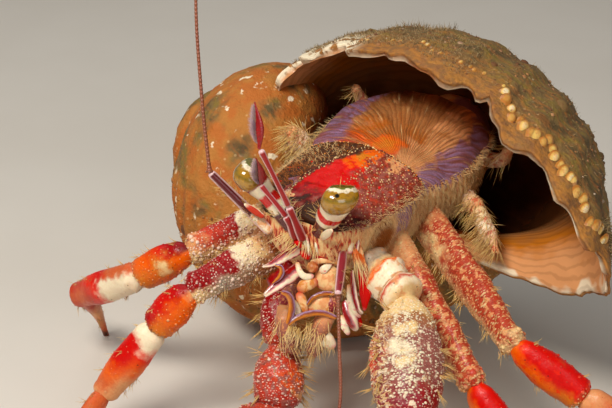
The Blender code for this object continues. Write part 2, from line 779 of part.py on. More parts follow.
# Each row: share of the part where it starts and ends, angle round the part from its
# side over its top, how many, length, base radius, lean towards the tip, blunt tip.
GRANULES = (
    (0.1, 0.94, 68, 5, 0.8, 0.55, 0.5, 0), (0.12, 0.9, 112, 5, 0.9, 0.55, 0.5, 0),
    (0.1, 0.92, 30, 4, 0.7, 0.5, 0.4, 0), (0.1, 0.92, 150, 4, 0.7, 0.5, 0.4, 0),
)
LOWER_GRANULES = ((0.1, 0.92, -30, 4, 0.6, 0.5, 0.4, 0), (0.1, 0.92, 210, 4, 0.6, 0.5, 0.4, 0))
CLAW_BRISTLES = ((0.15, 0.9, -5, 4, 2.8, 0.32, 0.5, 0), (0.2, 0.9, 185, 4, 2.8, 0.32, 0.5, 0))
LEG_ROWS = {
    "merus": ((0.35, 0.95, 80, 5, 0.8, 0.5, 0.8, 0), (0.35, 0.95, 110, 4, 0.8, 0.5, 0.8, 0),
              (0.4, 0.95, -80, 4, 2.4, 0.3, 0.6, 0)),
    "carpus": ((0.2, 0.9, 80, 4, 0.9, 0.45, 1.0, 0), (0.3, 0.9, -90, 3, 1.9, 0.3, 0.5, 0)),
    "propodus": ((0.1, 0.95, 85, 5, 1.0, 0.4, 1.2, 0), (0.15, 0.95, -90, 4, 1.8, 0.3, 0.5, 0)),
    "dactyl": ((0.15, 0.8, 90, 4, 1.6, 0.3, 0.8, 0), (0.2, 0.7, -90, 3, 1.4, 0.3, 0.8, 0)),
}
TUFT_ROWS = {
    "maxilliped_l_lower": ((0.3, 0.95, 0, 4, 3.0, 0.32, 0.6, 0), (0.3, 0.95, 180, 4, 3.0, 0.32, 0.6, 0),
                           (0.4, 0.95, -90, 4, 3.2, 0.32, 0.7, 0)),
    "leg4_l_upper": ((0.35, 0.95, 90, 5, 2.6, 0.3, 0.8, 0), (0.4, 0.95, 20, 4, 2.4, 0.3, 0.8, 0)),
    "leg4_l_lower": ((0.15, 0.9, 90, 5, 2.8, 0.3, 0.8, 0), (0.15, 0.9, -90, 4, 2.6, 0.3, 0.8, 0),
                     (0.2, 0.9, 0, 3, 2.4, 0.3, 0.8, 0)),
    "eyestalk_l": ((0.8, 0.9, 90, 2, 1.3, 0.28, 1.0, 0),),
    "antenna_base_l": ((0.3, 0.9, 90, 3, 1.2, 0.3, 0.8, 0),),
}
for tuft in ("maxilliped", "leg4", "eyestalk", "antenna_base"):
    for node in [n for n in TUFT_ROWS if n.startswith(tuft)]:
        TUFT_ROWS[node.replace("_l", "_r", 1)] = TUFT_ROWS[node]


def rows_for(name):
    part = name.split("_")[-1]
    if name in TUFT_ROWS:
        return TUFT_ROWS[name]
    if name.startswith(("leg2", "leg3")):
        return LEG_ROWS[part]
    if name.startswith("claw"):
        if part in ("merus", "carpus", "palm"):
            few = GRANULES if name.startswith("claw_r") else GRANULES + LOWER_GRANULES
            return few + CLAW_BRISTLES
        if part in ("finger", "dactyl"):
            return GRANULES[:2]
    return ()


def grow_rows(name, tree, others):
    pieces = []
    for first, last, degrees, count, length, radius, lean, blunt in rows_for(name):
        for i in range(count):
            u = first + (last - first) * (i + random_draw.uniform(0.2, 0.8)) / count
            angle = math.radians(degrees + random_draw.uniform(-9, 9))
            place, normal, along = on_surface(name, tree, u, angle)
            if place is None:
                continue
            way = (normal + along * lean + random_vector() * 0.15).normalized()
            size = length * random_draw.uniform(0.75, 1.15)
            if is_free([place + way * size * share for share in (0.1, 0.5, 1.0)], others):
                pieces.append(spike(place, way, size, radius, blunt=blunt))
    return pieces


def random_vector():
    return Vector([random_draw.uniform(-1, 1) for _ in range(3)])


# Lumps of crust on the shell: (turn, angle round the growth line in degrees, height, radius).
CRUST = (
    (0.05, 10, 1.0, 2.2), (0.09, -40, 1.1, 2.4), (0.16, 35, 0.9, 2.0), (0.24, -10, 1.0, 2.2),
    (0.33, 20, 0.9, 2.0), (0.12, 60, 0.9, 1.7), (0.3, -35, 1.0, 1.9),
)
# Hair fringe on the flanks of the rear carapace: (y, z) spans, count and length.
FLANK_HAIRS = 11
FLANK_LENGTH = 2.2


def grow_on_body(tree, others):
    """Hair locks along the lower flanks of the rear carapace."""
    pieces = []
    for side in (1, -1):
        for row, height in enumerate((-1.8, -3.9)):
            for i in range(FLANK_HAIRS):
                y = SHIELD_END + 2 + (i + 0.5 * row + random_draw.uniform(-0.2, 0.2)) * 1.6
                start = Vector((0, y, height))
                hit = tree.ray_cast(start, Vector((side, 0, 0)))
                if hit[0] is None:
                    continue
                way = (hit[1] + Vector((side * 0.2, -0.9, -0.5))).normalized()
                if is_free([hit[0] + way * FLANK_LENGTH * share for share in (0.1, 0.5, 1.0)], others):
                    pieces.append(spike(hit[0], way, FLANK_LENGTH, 0.32))
    return pieces


def grow_on_shell(tree):
    pieces = []
    for turn, degrees, height, radius in CRUST:
        outer = shell_ring(turn, 0.0, 72)
        place = outer[int(degrees / 5) % 72]
        hit = tree.find_nearest(place)
        pieces.append(spike(hit[0], hit[1], height, radius, 6, 1.0, 0.55))
    return pieces


def dress():
    """Grows every node's spines, granules, bristles and crust where they stay clear of the rest."""
    trees = {name: tree_of(shape) for name, shape in forms.items()}
    boxes = {name: box_of(shape) for name, shape in forms.items()}
    for name in sorted(forms):
        others = near_trees(name, trees, boxes, 5.0)
        if name == "rear_carapace":
            pieces = grow_on_body(trees[name], others)
        elif name == "shell":
            pieces = grow_on_shell(trees[name])
        else:
            pieces = grow_rows(name, trees[name], others)
        if pieces:
            fuse(forms[name], pieces)
            trees[name] = tree_of(forms[name])
            boxes[name] = box_of(forms[name])


# Where a node's root is cut back to sit on its neighbours.
SEATS = (
    ("thorax", "shell"),
    ("abdomen", "body", "shell"),
    ("leg5_l", "body", "abdomen"),
    ("leg5_r", "body", "abdomen"),
    ("leg4_l_upper", "body"),
    ("leg4_r_upper", "body"),
    ("leg3_l_merus", "body", "leg4_l_upper"),
    ("leg3_r_merus", "body", "leg4_r_upper"),
    ("leg2_l_merus", "body", "leg3_l_merus"),
    ("leg2_r_merus", "body", "leg3_r_merus"),
    ("claw_l_ischium", "body", "leg2_l_merus"),
    ("claw_r_ischium", "body", "leg2_r_merus"),
    ("maxilliped_l_upper", "body"),
    ("maxilliped_r_upper", "body"),
    ("mouth", "body", "maxilliped_l_upper", "maxilliped_r_upper"),
    ("eyestalk_l", "body"),
    ("eyestalk_r", "body"),
    ("acicle_l", "eyestalk_l", "body"),
    ("acicle_r", "eyestalk_r", "body"),
    ("antenna_base_l", "body", "eyestalk_l", "acicle_l"),
    ("antenna_base_r", "body", "eyestalk_r", "acicle_r"),
    ("antennule_l", "body", "mouth"),
    ("antennule_r", "body", "mouth"),
)


def settle():
    """Moves the model's base centre to the origin, in metres, and shades it smooth."""
    points = [v.co for shape in forms.values() for v in shape.data.vertices]
    low = [min(p[k] for p in points) for k in range(3)]
    high = [max(p[k] for p in points) for k in range(3)]
    middle = Vector(((low[0] + high[0]) / 2, (low[1] + high[1]) / 2, FLOOR))
    place = Matrix.Scale(MM, 4) @ Matrix.Translation(-middle)
    for name, shape in forms.items():
        shape.data.transform(place)
        shape.name = name
        shape.data.name = name
        shape.data.shade_smooth()
        shape.data.set_sharp_from_angle(angle=math.radians(40))


def main():
    empty_scene()
    make_shell()
    make_body()
    make_abdomen()
    make_eyes()
    make_antennules()
    make_antennae()
    make_mouth()
    make_walking_legs()
    make_claws()
    make_hind_legs()
    for name, *neighbours in SEATS:
        clear_of(name, *neighbours)
    remove(forms.pop("body"))
    dress()
    settle()


main()
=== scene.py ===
"""Looks of a great red hermit crab in a thin tun shell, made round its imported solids.

Shapes are worked out in millimetres from the point between the eyes, as the solids
are: x to the animal's left, y to its rear, z up. place() turns them into the row's frame.
"""
import math

import bpy
import numpy as np
from mathutils import Matrix, Vector


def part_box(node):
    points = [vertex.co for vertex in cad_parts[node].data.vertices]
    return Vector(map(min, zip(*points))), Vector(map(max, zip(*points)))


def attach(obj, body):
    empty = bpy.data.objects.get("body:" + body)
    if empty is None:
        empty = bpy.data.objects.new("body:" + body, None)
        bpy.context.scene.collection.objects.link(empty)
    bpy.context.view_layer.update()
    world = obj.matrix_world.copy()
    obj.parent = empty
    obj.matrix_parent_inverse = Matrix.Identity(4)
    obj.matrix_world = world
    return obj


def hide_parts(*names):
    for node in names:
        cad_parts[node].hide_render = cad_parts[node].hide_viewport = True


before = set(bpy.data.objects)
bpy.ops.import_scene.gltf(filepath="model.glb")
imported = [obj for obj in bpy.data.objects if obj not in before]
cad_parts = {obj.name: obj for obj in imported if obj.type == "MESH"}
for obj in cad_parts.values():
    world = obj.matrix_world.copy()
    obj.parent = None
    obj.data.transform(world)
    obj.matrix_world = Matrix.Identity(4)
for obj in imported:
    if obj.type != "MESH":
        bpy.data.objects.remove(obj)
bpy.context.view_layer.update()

MM = 0.001
FLOOR = -39.4
SHIELD_END = 17.5
UP = np.array([0.0, 0.0, 1.0])
shield_low, shield_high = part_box("shield")
MIDDLE = np.array([-(shield_low.x + shield_high.x) / 2 / MM, SHIELD_END - shield_high.y / MM, FLOOR])
draw = np.random.default_rng(7)


# The view: towards the camera, and the picture's own right and up. Where the point between the eyes shows.
CAMERA_DISTANCE = 230.0
TO_CAMERA = np.array([0.461, -0.755, 0.467])
PICTURE_RIGHT = np.array([0.853, 0.521, 0.0])
PICTURE_UP = np.array([-0.243, 0.398, 0.884])
PICTURE_WIDTH = 612
PICTURE_HEIGHT = 408
EYES_AT = (303, 224)
PIXELS_PER_MM = 7.0


def place(points):
    return (np.asarray(points, float) - MIDDLE) * MM


def seen(x, y, depth):
    """The point that shows at a pixel of the picture, depth mm nearer the camera than the eyes' roots."""
    size = (CAMERA_DISTANCE - depth) / (PIXELS_PER_MM * CAMERA_DISTANCE)
    across = PICTURE_RIGHT * (x - EYES_AT[0]) - PICTURE_UP * (y - EYES_AT[1])
    return TO_CAMERA * depth + across * size


# Shapes

def unit(vectors):
    return vectors / np.maximum(np.linalg.norm(vectors, axis=-1, keepdims=True), 1e-9)


def ease(share):
    """From 0 to 1, gently at both ends."""
    return 0.5 - 0.5 * np.cos(np.pi * np.clip(share, 0, 1))


def arch(share):
    """From 0 up to 1 in the middle and back to 0."""
    return np.sin(np.pi * np.clip(share, 0, 1))


def rounded(distance, radius, most=0.999):
    """How wide a round end is at a distance from its tip, as a share of its full width."""
    return np.sqrt(1 - np.clip(1 - distance / radius, 0, most) ** 2)


def ring(sides):
    """Angles evenly spaced round a ring."""
    return 2 * np.pi * np.arange(sides) / sides


def profile(share, start, belly, end, belly_at=0.55):
    """A size along a part: start, then fullest at belly_at, then end."""
    rise = start + (belly - start) * ease(share / belly_at)
    fall = belly + (end - belly) * ease((share - belly_at) / (1 - belly_at))
    return np.where(share < belly_at, rise, fall)


def curve(points, shares):
    """Points at the given shares of the length of a smooth curve through the given points."""
    knots = np.array(points, float)
    knots = np.vstack([2 * knots[0] - knots[1], knots, 2 * knots[-1] - knots[-2]])
    t = np.linspace(0, 1, 24, endpoint=False)[:, None]
    dense = []
    for a, b, c, d in zip(knots, knots[1:], knots[2:], knots[3:]):
        dense.append(0.5 * (2 * b + (c - a) * t + (2 * a - 5 * b + 4 * c - d) * t ** 2
                            + (3 * b - a - 3 * c + d) * t ** 3))
    dense = np.vstack(dense + [knots[-2:-1]])
    run = np.concatenate([[0], np.cumsum(np.linalg.norm(np.diff(dense, axis=0), axis=1))])
    wanted = np.asarray(shares) * run[-1]
    return np.stack([np.interp(wanted, run, dense[:, k]) for k in range(dense.shape[1])], axis=1)


LATTICE_SIZE = 32
LATTICE = np.random.default_rng(3).random((LATTICE_SIZE, LATTICE_SIZE, LATTICE_SIZE)) * 2 - 1


def cloud(points, size, octaves=1):
    """Smooth noise from -1 to 1 with lumps of about the given size."""
    total = np.zeros(points.shape[:-1])
    weight = 1.0
    for octave in range(octaves):
        spot = points / size * 2 ** octave + 5.7 * (octave + 1)
        cell = np.floor(spot).astype(int)
        part = spot - cell
        part = part * part * (3 - 2 * part)
        for corner in range(8):
            step = np.array([corner & 1, corner >> 1 & 1, corner >> 2 & 1])
            share = np.prod(np.where(step, part, 1 - part), axis=-1)
            x, y, z = np.moveaxis((cell + step) % LATTICE_SIZE, -1, 0)
            total += weight * share * LATTICE[x, y, z]
        weight *= 0.5
    return total


def sweep(centres, widths, depths, sides, up=UP):
    """Points of a swept oval, rows along it and columns round it from its side over its top."""
    along = unit(np.gradient(centres, axis=0))
    across = unit(np.cross(along, up))
    over = np.cross(across, along)
    angle = ring(sides)
    return (centres[:, None] + across[:, None] * (widths[:, None] * np.cos(angle))[..., None]
            + over[:, None] * (depths[:, None] * np.sin(angle))[..., None])


class Skin:
    """A grid of points, rows along a part and columns round it, and its directions."""

    def __init__(self, points, along, angle=None, tile=(0, 1)):
        self.points = points
        self.along = along
        self.angle = ring(points.shape[1]) if angle is None else angle
        self.tile = tile
        self.turn()

    def turn(self):
        """Works out the outward direction at each point."""
        self.way = unit(np.gradient(self.points, axis=0))
        round_it = np.roll(self.points, -1, axis=1) - np.roll(self.points, 1, axis=1)
        out = unit(np.cross(round_it, self.way))
        middle = self.points.mean(axis=1, keepdims=True)
        rows = slice(len(self.points) // 4, max(len(self.points) * 3 // 4, 1))
        if ((self.points - middle) * out)[rows].sum() < 0:
            out = -out
        self.out = out

    def push(self, height):
        """Moves the skin outwards by a height for each point."""
        self.points = self.points + self.out * height[..., None]
        self.turn()

    def spots(self, count, weight=None, gap=0.0):
        """Random places on the skin: root, outward way, way along, share along, angle."""
        first, second = self.points[:-1], self.points[1:]
        nearby = np.roll(first, -1, axis=1)
        area = np.linalg.norm(np.cross(second - first, nearby - first), axis=-1)
        if weight is not None:
            middles = (self.along[:-1] + self.along[1:])[:, None] / 2
            area = area * np.maximum(weight(middles, self.angle[None, :]), 0)
        pick = draw.choice(area.size, count, p=area.ravel() / area.sum())
        row, column = np.unravel_index(pick, area.shape)
        s, t = draw.random((2, count, 1))
        beside = (column + 1) % self.points.shape[1]

        def at(grid):
            low = grid[row, column] * (1 - t) + grid[row, beside] * t
            return low * (1 - s) + (grid[row + 1, column] * (1 - t) + grid[row + 1, beside] * t) * s

        found = {"root": at(self.points), "out": unit(at(self.out)), "way": unit(at(self.way))}
        found["along"] = self.along[row] * (1 - s[:, 0]) + self.along[row + 1] * s[:, 0]
        step = (self.angle[1] - self.angle[0]) * t[:, 0]
        found["angle"] = self.angle[column] + step
        if gap:
            keep = apart(found["root"], gap)
            found = {name: value[keep] for name, value in found.items()}
        return found


def apart(points, gap):
    """Which of the points to keep so that none is nearer than the gap to one kept before it."""
    taken = {}
    keep = []
    for index, (point, cell) in enumerate(zip(points, np.floor(points / gap).astype(int))):
        x, y, z = cell
        near = [q for i in (-1, 0, 1) for j in (-1, 0, 1) for k in (-1, 0, 1)
                for q in taken.get((x + i, y + j, z + k), ())]
        if all(np.dot(point - q, point - q) >= gap * gap for q in near):
            taken.setdefault((x, y, z), []).append(point)
            keep.append(index)
    return keep


VALUES = ("along", "top", "side", "bead", "tint")


class Form:
    """Points, faces and values at the points that one piece is gathered in."""

    def __init__(self):
        self.points = []
        self.faces = []
        self.values = {name: [] for name in VALUES}
        self.unwrap = []
        self.count = 0

    def add(self, points, faces, unwrap=None, **values):
        points = np.asarray(points, float).reshape(-1, 3)
        for group in faces:
            self.faces.append(np.asarray(group) + self.count)
        self.points.append(points)
        for name in VALUES:
            self.values[name].append(np.broadcast_to(values.get(name, 0.0), len(points)))
        if unwrap is not None:
            self.unwrap.append(unwrap)
        self.count += len(points)

    def add_grid(self, points, caps=True, **values):
        rows, columns = points.shape[:2]
        i, j = np.meshgrid(np.arange(rows - 1), np.arange(columns), indexing="ij")
        k = (j + 1) % columns
        quads = np.stack([i * columns + j, i * columns + k, (i + 1) * columns + k, (i + 1) * columns + j], -1)
        faces = [quads.reshape(-1, 4)]
        if caps:
            faces.append(np.arange(columns)[::-1][None])
            faces.append((rows - 1) * columns + np.arange(columns)[None])
        spread = {}
        for name, value in values.items():
            spread[name] = np.broadcast_to(value, (rows, columns)).ravel() if np.ndim(value) else value
        self.add(points, faces, **spread)

    def add_skin(self, skin, **values):
        turn = skin.angle[None]
        given = {"along": skin.along[:, None], "top": np.sin(turn), "side": np.cos(turn)}
        self.add_grid(skin.points, **{**given, **values})

    def piece(self, name, material, slot, *nodes):
        mesh = bpy.data.meshes.new(name)
        points = place(np.vstack(self.points))
        points[:, 2] = np.maximum(points[:, 2], 0.0)
        corners = np.concatenate([group.ravel() for group in self.faces])
        sizes = np.concatenate([np.full(len(group), group.shape[1]) for group in self.faces])
        mesh.vertices.add(len(points))
        mesh.vertices.foreach_set("co", points.astype(np.float32).ravel())
        mesh.loops.add(len(corners))
        mesh.loops.foreach_set("vertex_index", corners.astype(np.int32))
        mesh.polygons.add(len(sizes))
        mesh.polygons.foreach_set("loop_start", np.concatenate([[0], np.cumsum(sizes)[:-1]]).astype(np.int32))
        mesh.update(calc_edges=True)
        for value, numbers in self.values.items():
            layer = mesh.attributes.new(value, "FLOAT", "POINT")
            layer.data.foreach_set("value", np.concatenate(numbers).astype(np.float32))
        if self.unwrap:
            layer = mesh.uv_layers.new(name="OFBake")
            layer.data.foreach_set("uv", np.vstack(self.unwrap)[corners].astype(np.float32).ravel())
        mesh.shade_smooth()
        mesh.materials.append(material)
        shape = show(name, mesh)
        face_out(shape)
        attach(shape, "root")
        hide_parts(*nodes)


def cover(skin, name, material, slot, *nodes, **values):
    """A piece that is one skin."""
    form = Form()
    form.add_skin(skin, **values)
    form.piece(name, material, slot, *nodes)


def face_out(shape):
    """Turns a mesh inside out if its volume is negative."""
    mesh = shape.data
    mesh.calc_loop_triangles()
    corners = np.zeros(len(mesh.loop_triangles) * 3, np.int32)
    mesh.loop_triangles.foreach_get("vertices", corners)
    points = np.zeros(len(mesh.vertices) * 3, np.float32)
    mesh.vertices.foreach_get("co", points)
    a, b, c = np.moveaxis(points.reshape(-1, 3).astype(float)[corners.reshape(-1, 3)], 1, 0)
    if (a * np.cross(b, c)).sum() < 0:
        mesh.flip_normals()


DOME = np.array([(1.0, -0.35), (0.92, 0.35), (0.55, 0.85)])
SOFT_DOME = np.array([(1.1, -0.2), (0.72, 0.5), (0.4, 0.86)])


def above_floor(heights, *groups):
    """The rows of each group whose height is above the floor."""
    kept = heights > FLOOR + 0.05
    picked = [{name: rows[kept] for name, rows in group.items()} if isinstance(group, dict) else group[kept]
              for group in groups]
    return picked if len(picked) > 1 else picked[0]


def spikes(count, sides, rings):
    """Faces of count small forms, each of rings of points and a tip."""
    j = np.arange(sides)
    k = (j + 1) % sides
    last = sides * (rings - 1)
    quads = [np.stack([r + j, r + k, r + sides + k, r + sides + j], -1) for r in range(0, last, sides)]
    fan = np.stack([last + j, last + k, np.full(sides, sides * rings)], -1)
    start = np.arange(count)[:, None, None] * (sides * rings + 1)
    return [(np.concatenate(quads) + start).reshape(-1, 4), (fan + start).reshape(-1, 3)]


def beads(form, spots, radius, height, stretch=1.0, sides=6, lean=0.25, pale=(0.1, 0.85), scatter=0.3,
          dome=DOME, **values):
    """Small domes on a skin, which may be longer across the part than along it, each more or less pale."""
    spots = above_floor(spots["root"][:, 2] - radius * 1.5, spots)
    count = len(spots["root"])
    if not count:
        return
    size = radius * np.exp(draw.normal(0, scatter, count))
    pale = draw.uniform(*pale, count)
    across = unit(np.cross(spots["out"], spots["way"]))
    along = np.cross(across, spots["out"])
    angle = ring(sides)[None, :, None]
    flat = across[:, None] * (np.cos(angle) * stretch) + along[:, None] * np.sin(angle)
    points = []
    for reach, lift in dome:
        shift = along * lean * max(lift, 0) + spots["out"] * lift * height / radius
        points.append((flat * reach + shift[:, None]) * size[:, None, None])
    tip = (spots["out"] * height / radius + along * lean) * size[:, None]
    local = np.concatenate(points + [tip[:, None]], axis=1)
    total = local.shape[1]
    level = np.append(np.repeat((0.0, 0.8, 1.0), sides), 1.0)
    given = {"along": np.repeat(spots["along"], total), "top": np.repeat(np.sin(spots["angle"]), total),
             "side": np.repeat(np.cos(spots["angle"]), total), "bead": np.outer(pale, level).ravel(),
             "tint": np.repeat(draw.random(count), total)}
    given.update(values)
    form.add(spots["root"][:, None] + local, spikes(count, sides, len(dome)), **given)


# How large a bristle's place in its map is, as a share of the map
PATCH = 0.003


def bristles(form, spots, way, length, radius, bend=None, rings=4, tile=(0, 1), sink=0.15):
    """Tapered, bent bristles on a skin. Each takes its colour from a small patch at its root's place."""
    way = unit(way)
    length = np.broadcast_to(length, len(way))[:, None]
    bend = np.zeros_like(way) if bend is None else np.broadcast_to(bend, way.shape)
    tip = spots["root"] + length * (way + bend)
    lowest = np.minimum(tip[:, 2], spots["root"][:, 2]) - radius
    spots, way, length, bend, tip = above_floor(lowest, spots, way, length, bend, tip)
    count = len(tip)
    across = unit(np.cross(way, spots["out"] + 0.31))
    over = np.cross(way, across)
    turn = ring(3)[None, :, None]
    spread = across[:, None] * np.cos(turn) + over[:, None] * np.sin(turn)
    shares = np.linspace(0, 1, rings + 1)
    points = []
    for share in shares[:-1]:
        centre = spots["root"] - way * sink + length * (way * share + bend * share * share)
        size = radius * (1 - share) ** 0.6
        points.append(centre[:, None] + spread * size)
    points = np.concatenate(points + [tip[:, None]], axis=1)
    share = np.append(np.repeat(shares[:-1], 3), 1.0)
    lane = np.append(np.tile((0, 1 / 3, 2 / 3), rings), 0.5)
    index, tiles = tile
    root = np.stack([(index + 0.05 + 0.9 * (spots["angle"] / (2 * np.pi)) % 1) / tiles,
                     0.02 + 0.95 * np.clip(spots["along"], 0, 1)], -1)
    unwrap = root[:, None] + PATCH * np.stack([lane, share], -1)
    form.add(points, spikes(count, 3, rings), unwrap=unwrap.reshape(-1, 2), along=np.tile(share, count),
             tint=np.repeat(draw.random(count), points.shape[1]))


def stray(spots, amount):
    """A random way for each spot."""
    return draw.uniform(-amount, amount, (len(spots["root"]), 3))


def strew(form, skin, count, weight, gap, radius, height, **shape):
    """Beads at random places on a skin, no nearer to each other than the gap."""
    beads(form, skin.spots(count, weight, gap), radius, height, **shape)


def grow(coat, skin, spots, lengths, radius, out, way, amount, pull=(0, 0, 0), **shape):
    """Bristles that lean out of a skin, along it and with a pull, each a little its own way."""
    ways = spots["out"] * out + spots["way"] * way + pull + stray(spots, amount)
    bristles(coat, spots, ways, draw.uniform(*lengths, len(ways)), radius, tile=skin.tile, **shape)


def tufts(skin, groups, each, weight, spread=0.12):
    """Places in small groups, as bristles that share a pit."""
    found = skin.spots(groups, weight)
    found = {name: np.repeat(value, each, axis=0) for name, value in found.items()}
    found["root"] = found["root"] + draw.normal(0, spread, found["root"].shape)
    return found


# Colours and materials

def tone(red, green, blue):
    """A colour on a screen, from 0 to 255, as the light it reflects."""
    shares = np.array([red, green, blue]) / 255
    light = np.where(shares <= 0.04045, shares / 12.92, ((shares + 0.055) / 1.055) ** 2.4)
    return (*(float(v) for v in light), 1.0)


COLOURS = {
    "wine": tone(88, 10, 14),
    "crimson": tone(150, 4, 8),
    "brick": tone(176, 38, 20),
    "red": tone(204, 6, 0),
    "scarlet": tone(226, 34, 0),
    "orange": tone(232, 98, 2),
    "amber": tone(206, 122, 28),
    "salmon": tone(206, 98, 50),
    "peach": tone(222, 158, 104),
    "cream": tone(230, 196, 140),
    "ivory": tone(240, 224, 192),
    "straw": tone(226, 184, 100),
    "tan": tone(172, 116, 66),
    "brown": tone(104, 58, 26),
    "umber": tone(58, 32, 18),
    "lilac": tone(160, 128, 158),
    "mauve": tone(132, 74, 84),
    "olive": tone(128, 104, 34),
    "moss": tone(84, 66, 28),
    "grey": tone(178, 162, 140),
    "black": tone(14, 10, 8),
    "gold": tone(166, 120, 22),
    "leaf": tone(104, 112, 28),
    "rust": tone(120, 48, 30),
    "pink": tone(226, 140, 140),
    "coral": tone(196, 62, 36),
    "dusk": tone(150, 88, 78),
    "honey": tone(178, 98, 26),
    "blush": tone(236, 200, 200),
    "violet": tone(140, 116, 160),
    "khaki": tone(122, 96, 50),
    "russet": tone(116, 52, 42),
    "ochre": tone(176, 112, 40),
    "pearl": tone(244, 214, 196),
    "garnet": tone(140, 34, 48),
    "sienna": tone(140, 76, 50),
    "clay": tone(176, 64, 40),
    "sand": tone(214, 208, 198),
    "dune": tone(198, 190, 178),
    "haze": tone(222, 220, 216),
}


class Paint:
    """One procedural material, built node by node. Sizes are in millimetres."""

    def __init__(self, name):
        self.material = bpy.data.materials.new(name)
        self.material.use_nodes = True
        self.nodes = self.material.node_tree.nodes
        self.links = self.material.node_tree.links
        self.shader = self.nodes["Principled BSDF"]
        self.where = self.make("ShaderNodeTexCoord").outputs["Object"]

    def make(self, kind, inputs=(), **settings):
        node = self.nodes.new(kind)
        for name, value in settings.items():
            setattr(node, name, value)
        for socket, value in dict(inputs).items():
            self.feed(node.inputs[socket], value)
        return node

    def feed(self, socket, value):
        if isinstance(value, str):
            value = COLOURS[value]
        if isinstance(value, bpy.types.NodeSocket):
            self.links.new(value, socket)
        else:
            socket.default_value = value

    def value(self, name):
        return self.make("ShaderNodeAttribute", attribute_name=name).outputs["Fac"]

    def math(self, operation, first, second=0.0):
        return self.make("ShaderNodeMath", {0: first, 1: second}, operation=operation).outputs[0]

    def add(self, first, second):
        return self.math("ADD", first, second)

    def times(self, first, second):
        return self.math("MULTIPLY", first, second)

    def between(self, value, low, high, start=0.0, end=1.0):
        """Start where the value is low, end where it is high, and smooth between."""
        node = self.make("ShaderNodeMapRange", {"Value": value, "From Min": low, "From Max": high,
                                                "To Min": start, "To Max": end})
        node.interpolation_type = "SMOOTHSTEP"
        return node.outputs["Result"]

    def grid(self, along, top, side):
        """The part's own coordinates, scaled."""
        values = [self.times(self.value(n), s) for n, s in (("along", along), ("top", top), ("side", side))]
        return self.point(*values)

    def point(self, *values):
        return self.make("ShaderNodeCombineXYZ", dict(enumerate(values))).outputs[0]

    def away(self, here, there):
        """How far one point is from another."""
        return self.make("ShaderNodeVectorMath", {0: here, 1: there}, operation="DISTANCE").outputs["Value"]

    def noise(self, size, detail=2.0):
        return self.noise_at(self.where, 1 / (size * MM), detail)

    def noise_at(self, where, scale, detail):
        inputs = {"Vector": where, "Scale": scale, "Detail": detail}
        return self.make("ShaderNodeTexNoise", inputs).outputs["Fac"]

    def drift(self, size, detail, low, high, span=(0.3, 0.7)):
        """Noise spread from low to high."""
        return self.between(self.noise(size, detail), *span, low, high)

    def cells(self, size):
        inputs = {"Vector": self.where, "Scale": 1 / (size * MM)}
        return self.make("ShaderNodeTexVoronoi", inputs).outputs["Distance"]

    def ramp(self, value, stops):
        """Colours along a value, from stops such as "0 red, 0.5 tan, 1 cream"."""
        pairs = [stop.split() for stop in stops.split(", ")]
        first, *inner, last = [(float(share), COLOURS[colour]) for share, colour in pairs]
        node = self.make("ShaderNodeValToRGB", {"Fac": value})
        marks = node.color_ramp.elements
        marks[0].position, marks[0].color = first
        marks[1].position, marks[1].color = last
        for share, colour in inner:
            marks.new(share).color = colour
        return node.outputs["Color"]

    def over(self, colour, shade, value, low, high, most=1.0):
        """A shade laid over a colour where a value goes from low to high."""
        return self.mix(self.between(value, low, high, 0, most), colour, shade)

    def blotch(self, colour, shade, noise, span, most=1.0):
        """Patches of a shade where a noise of a given size and detail rises over a span of values."""
        return self.over(colour, shade, self.noise(*noise), *span, most)

    def mix(self, share, first, second, blend="MIX"):
        node = self.make("ShaderNodeMix", data_type="RGBA", blend_type=blend)
        for socket, value in zip((0, 6, 7), (share, first, second)):
            self.feed(node.inputs[socket], value)
        return node.outputs[2]

    def bump(self, height, depth):
        return self.make("ShaderNodeBump", {"Height": height, "Distance": depth * MM}).outputs["Normal"]

    def finish(self, colour, rough, normal=None, glow=(0.0, 1.0), coat=(), shine=0.5):
        """The finished material. glow is how much light goes in and how deep in mm, coat is how strong and
        how rough a clear coat is, and shine is how much the surface itself reflects."""
        sockets = self.shader.inputs
        self.feed(sockets["Base Color"], colour)
        self.feed(sockets["Roughness"], rough)
        if normal is not None:
            self.feed(sockets["Normal"], normal)
        sockets["Subsurface Weight"].default_value = glow[0]
        sockets["Subsurface Scale"].default_value = glow[1] * MM
        sockets["Specular IOR Level"].default_value = shine
        for name, value in zip(("Coat Weight", "Coat Roughness", "Coat IOR"), coat):
            sockets[name].default_value = value
        return self.material


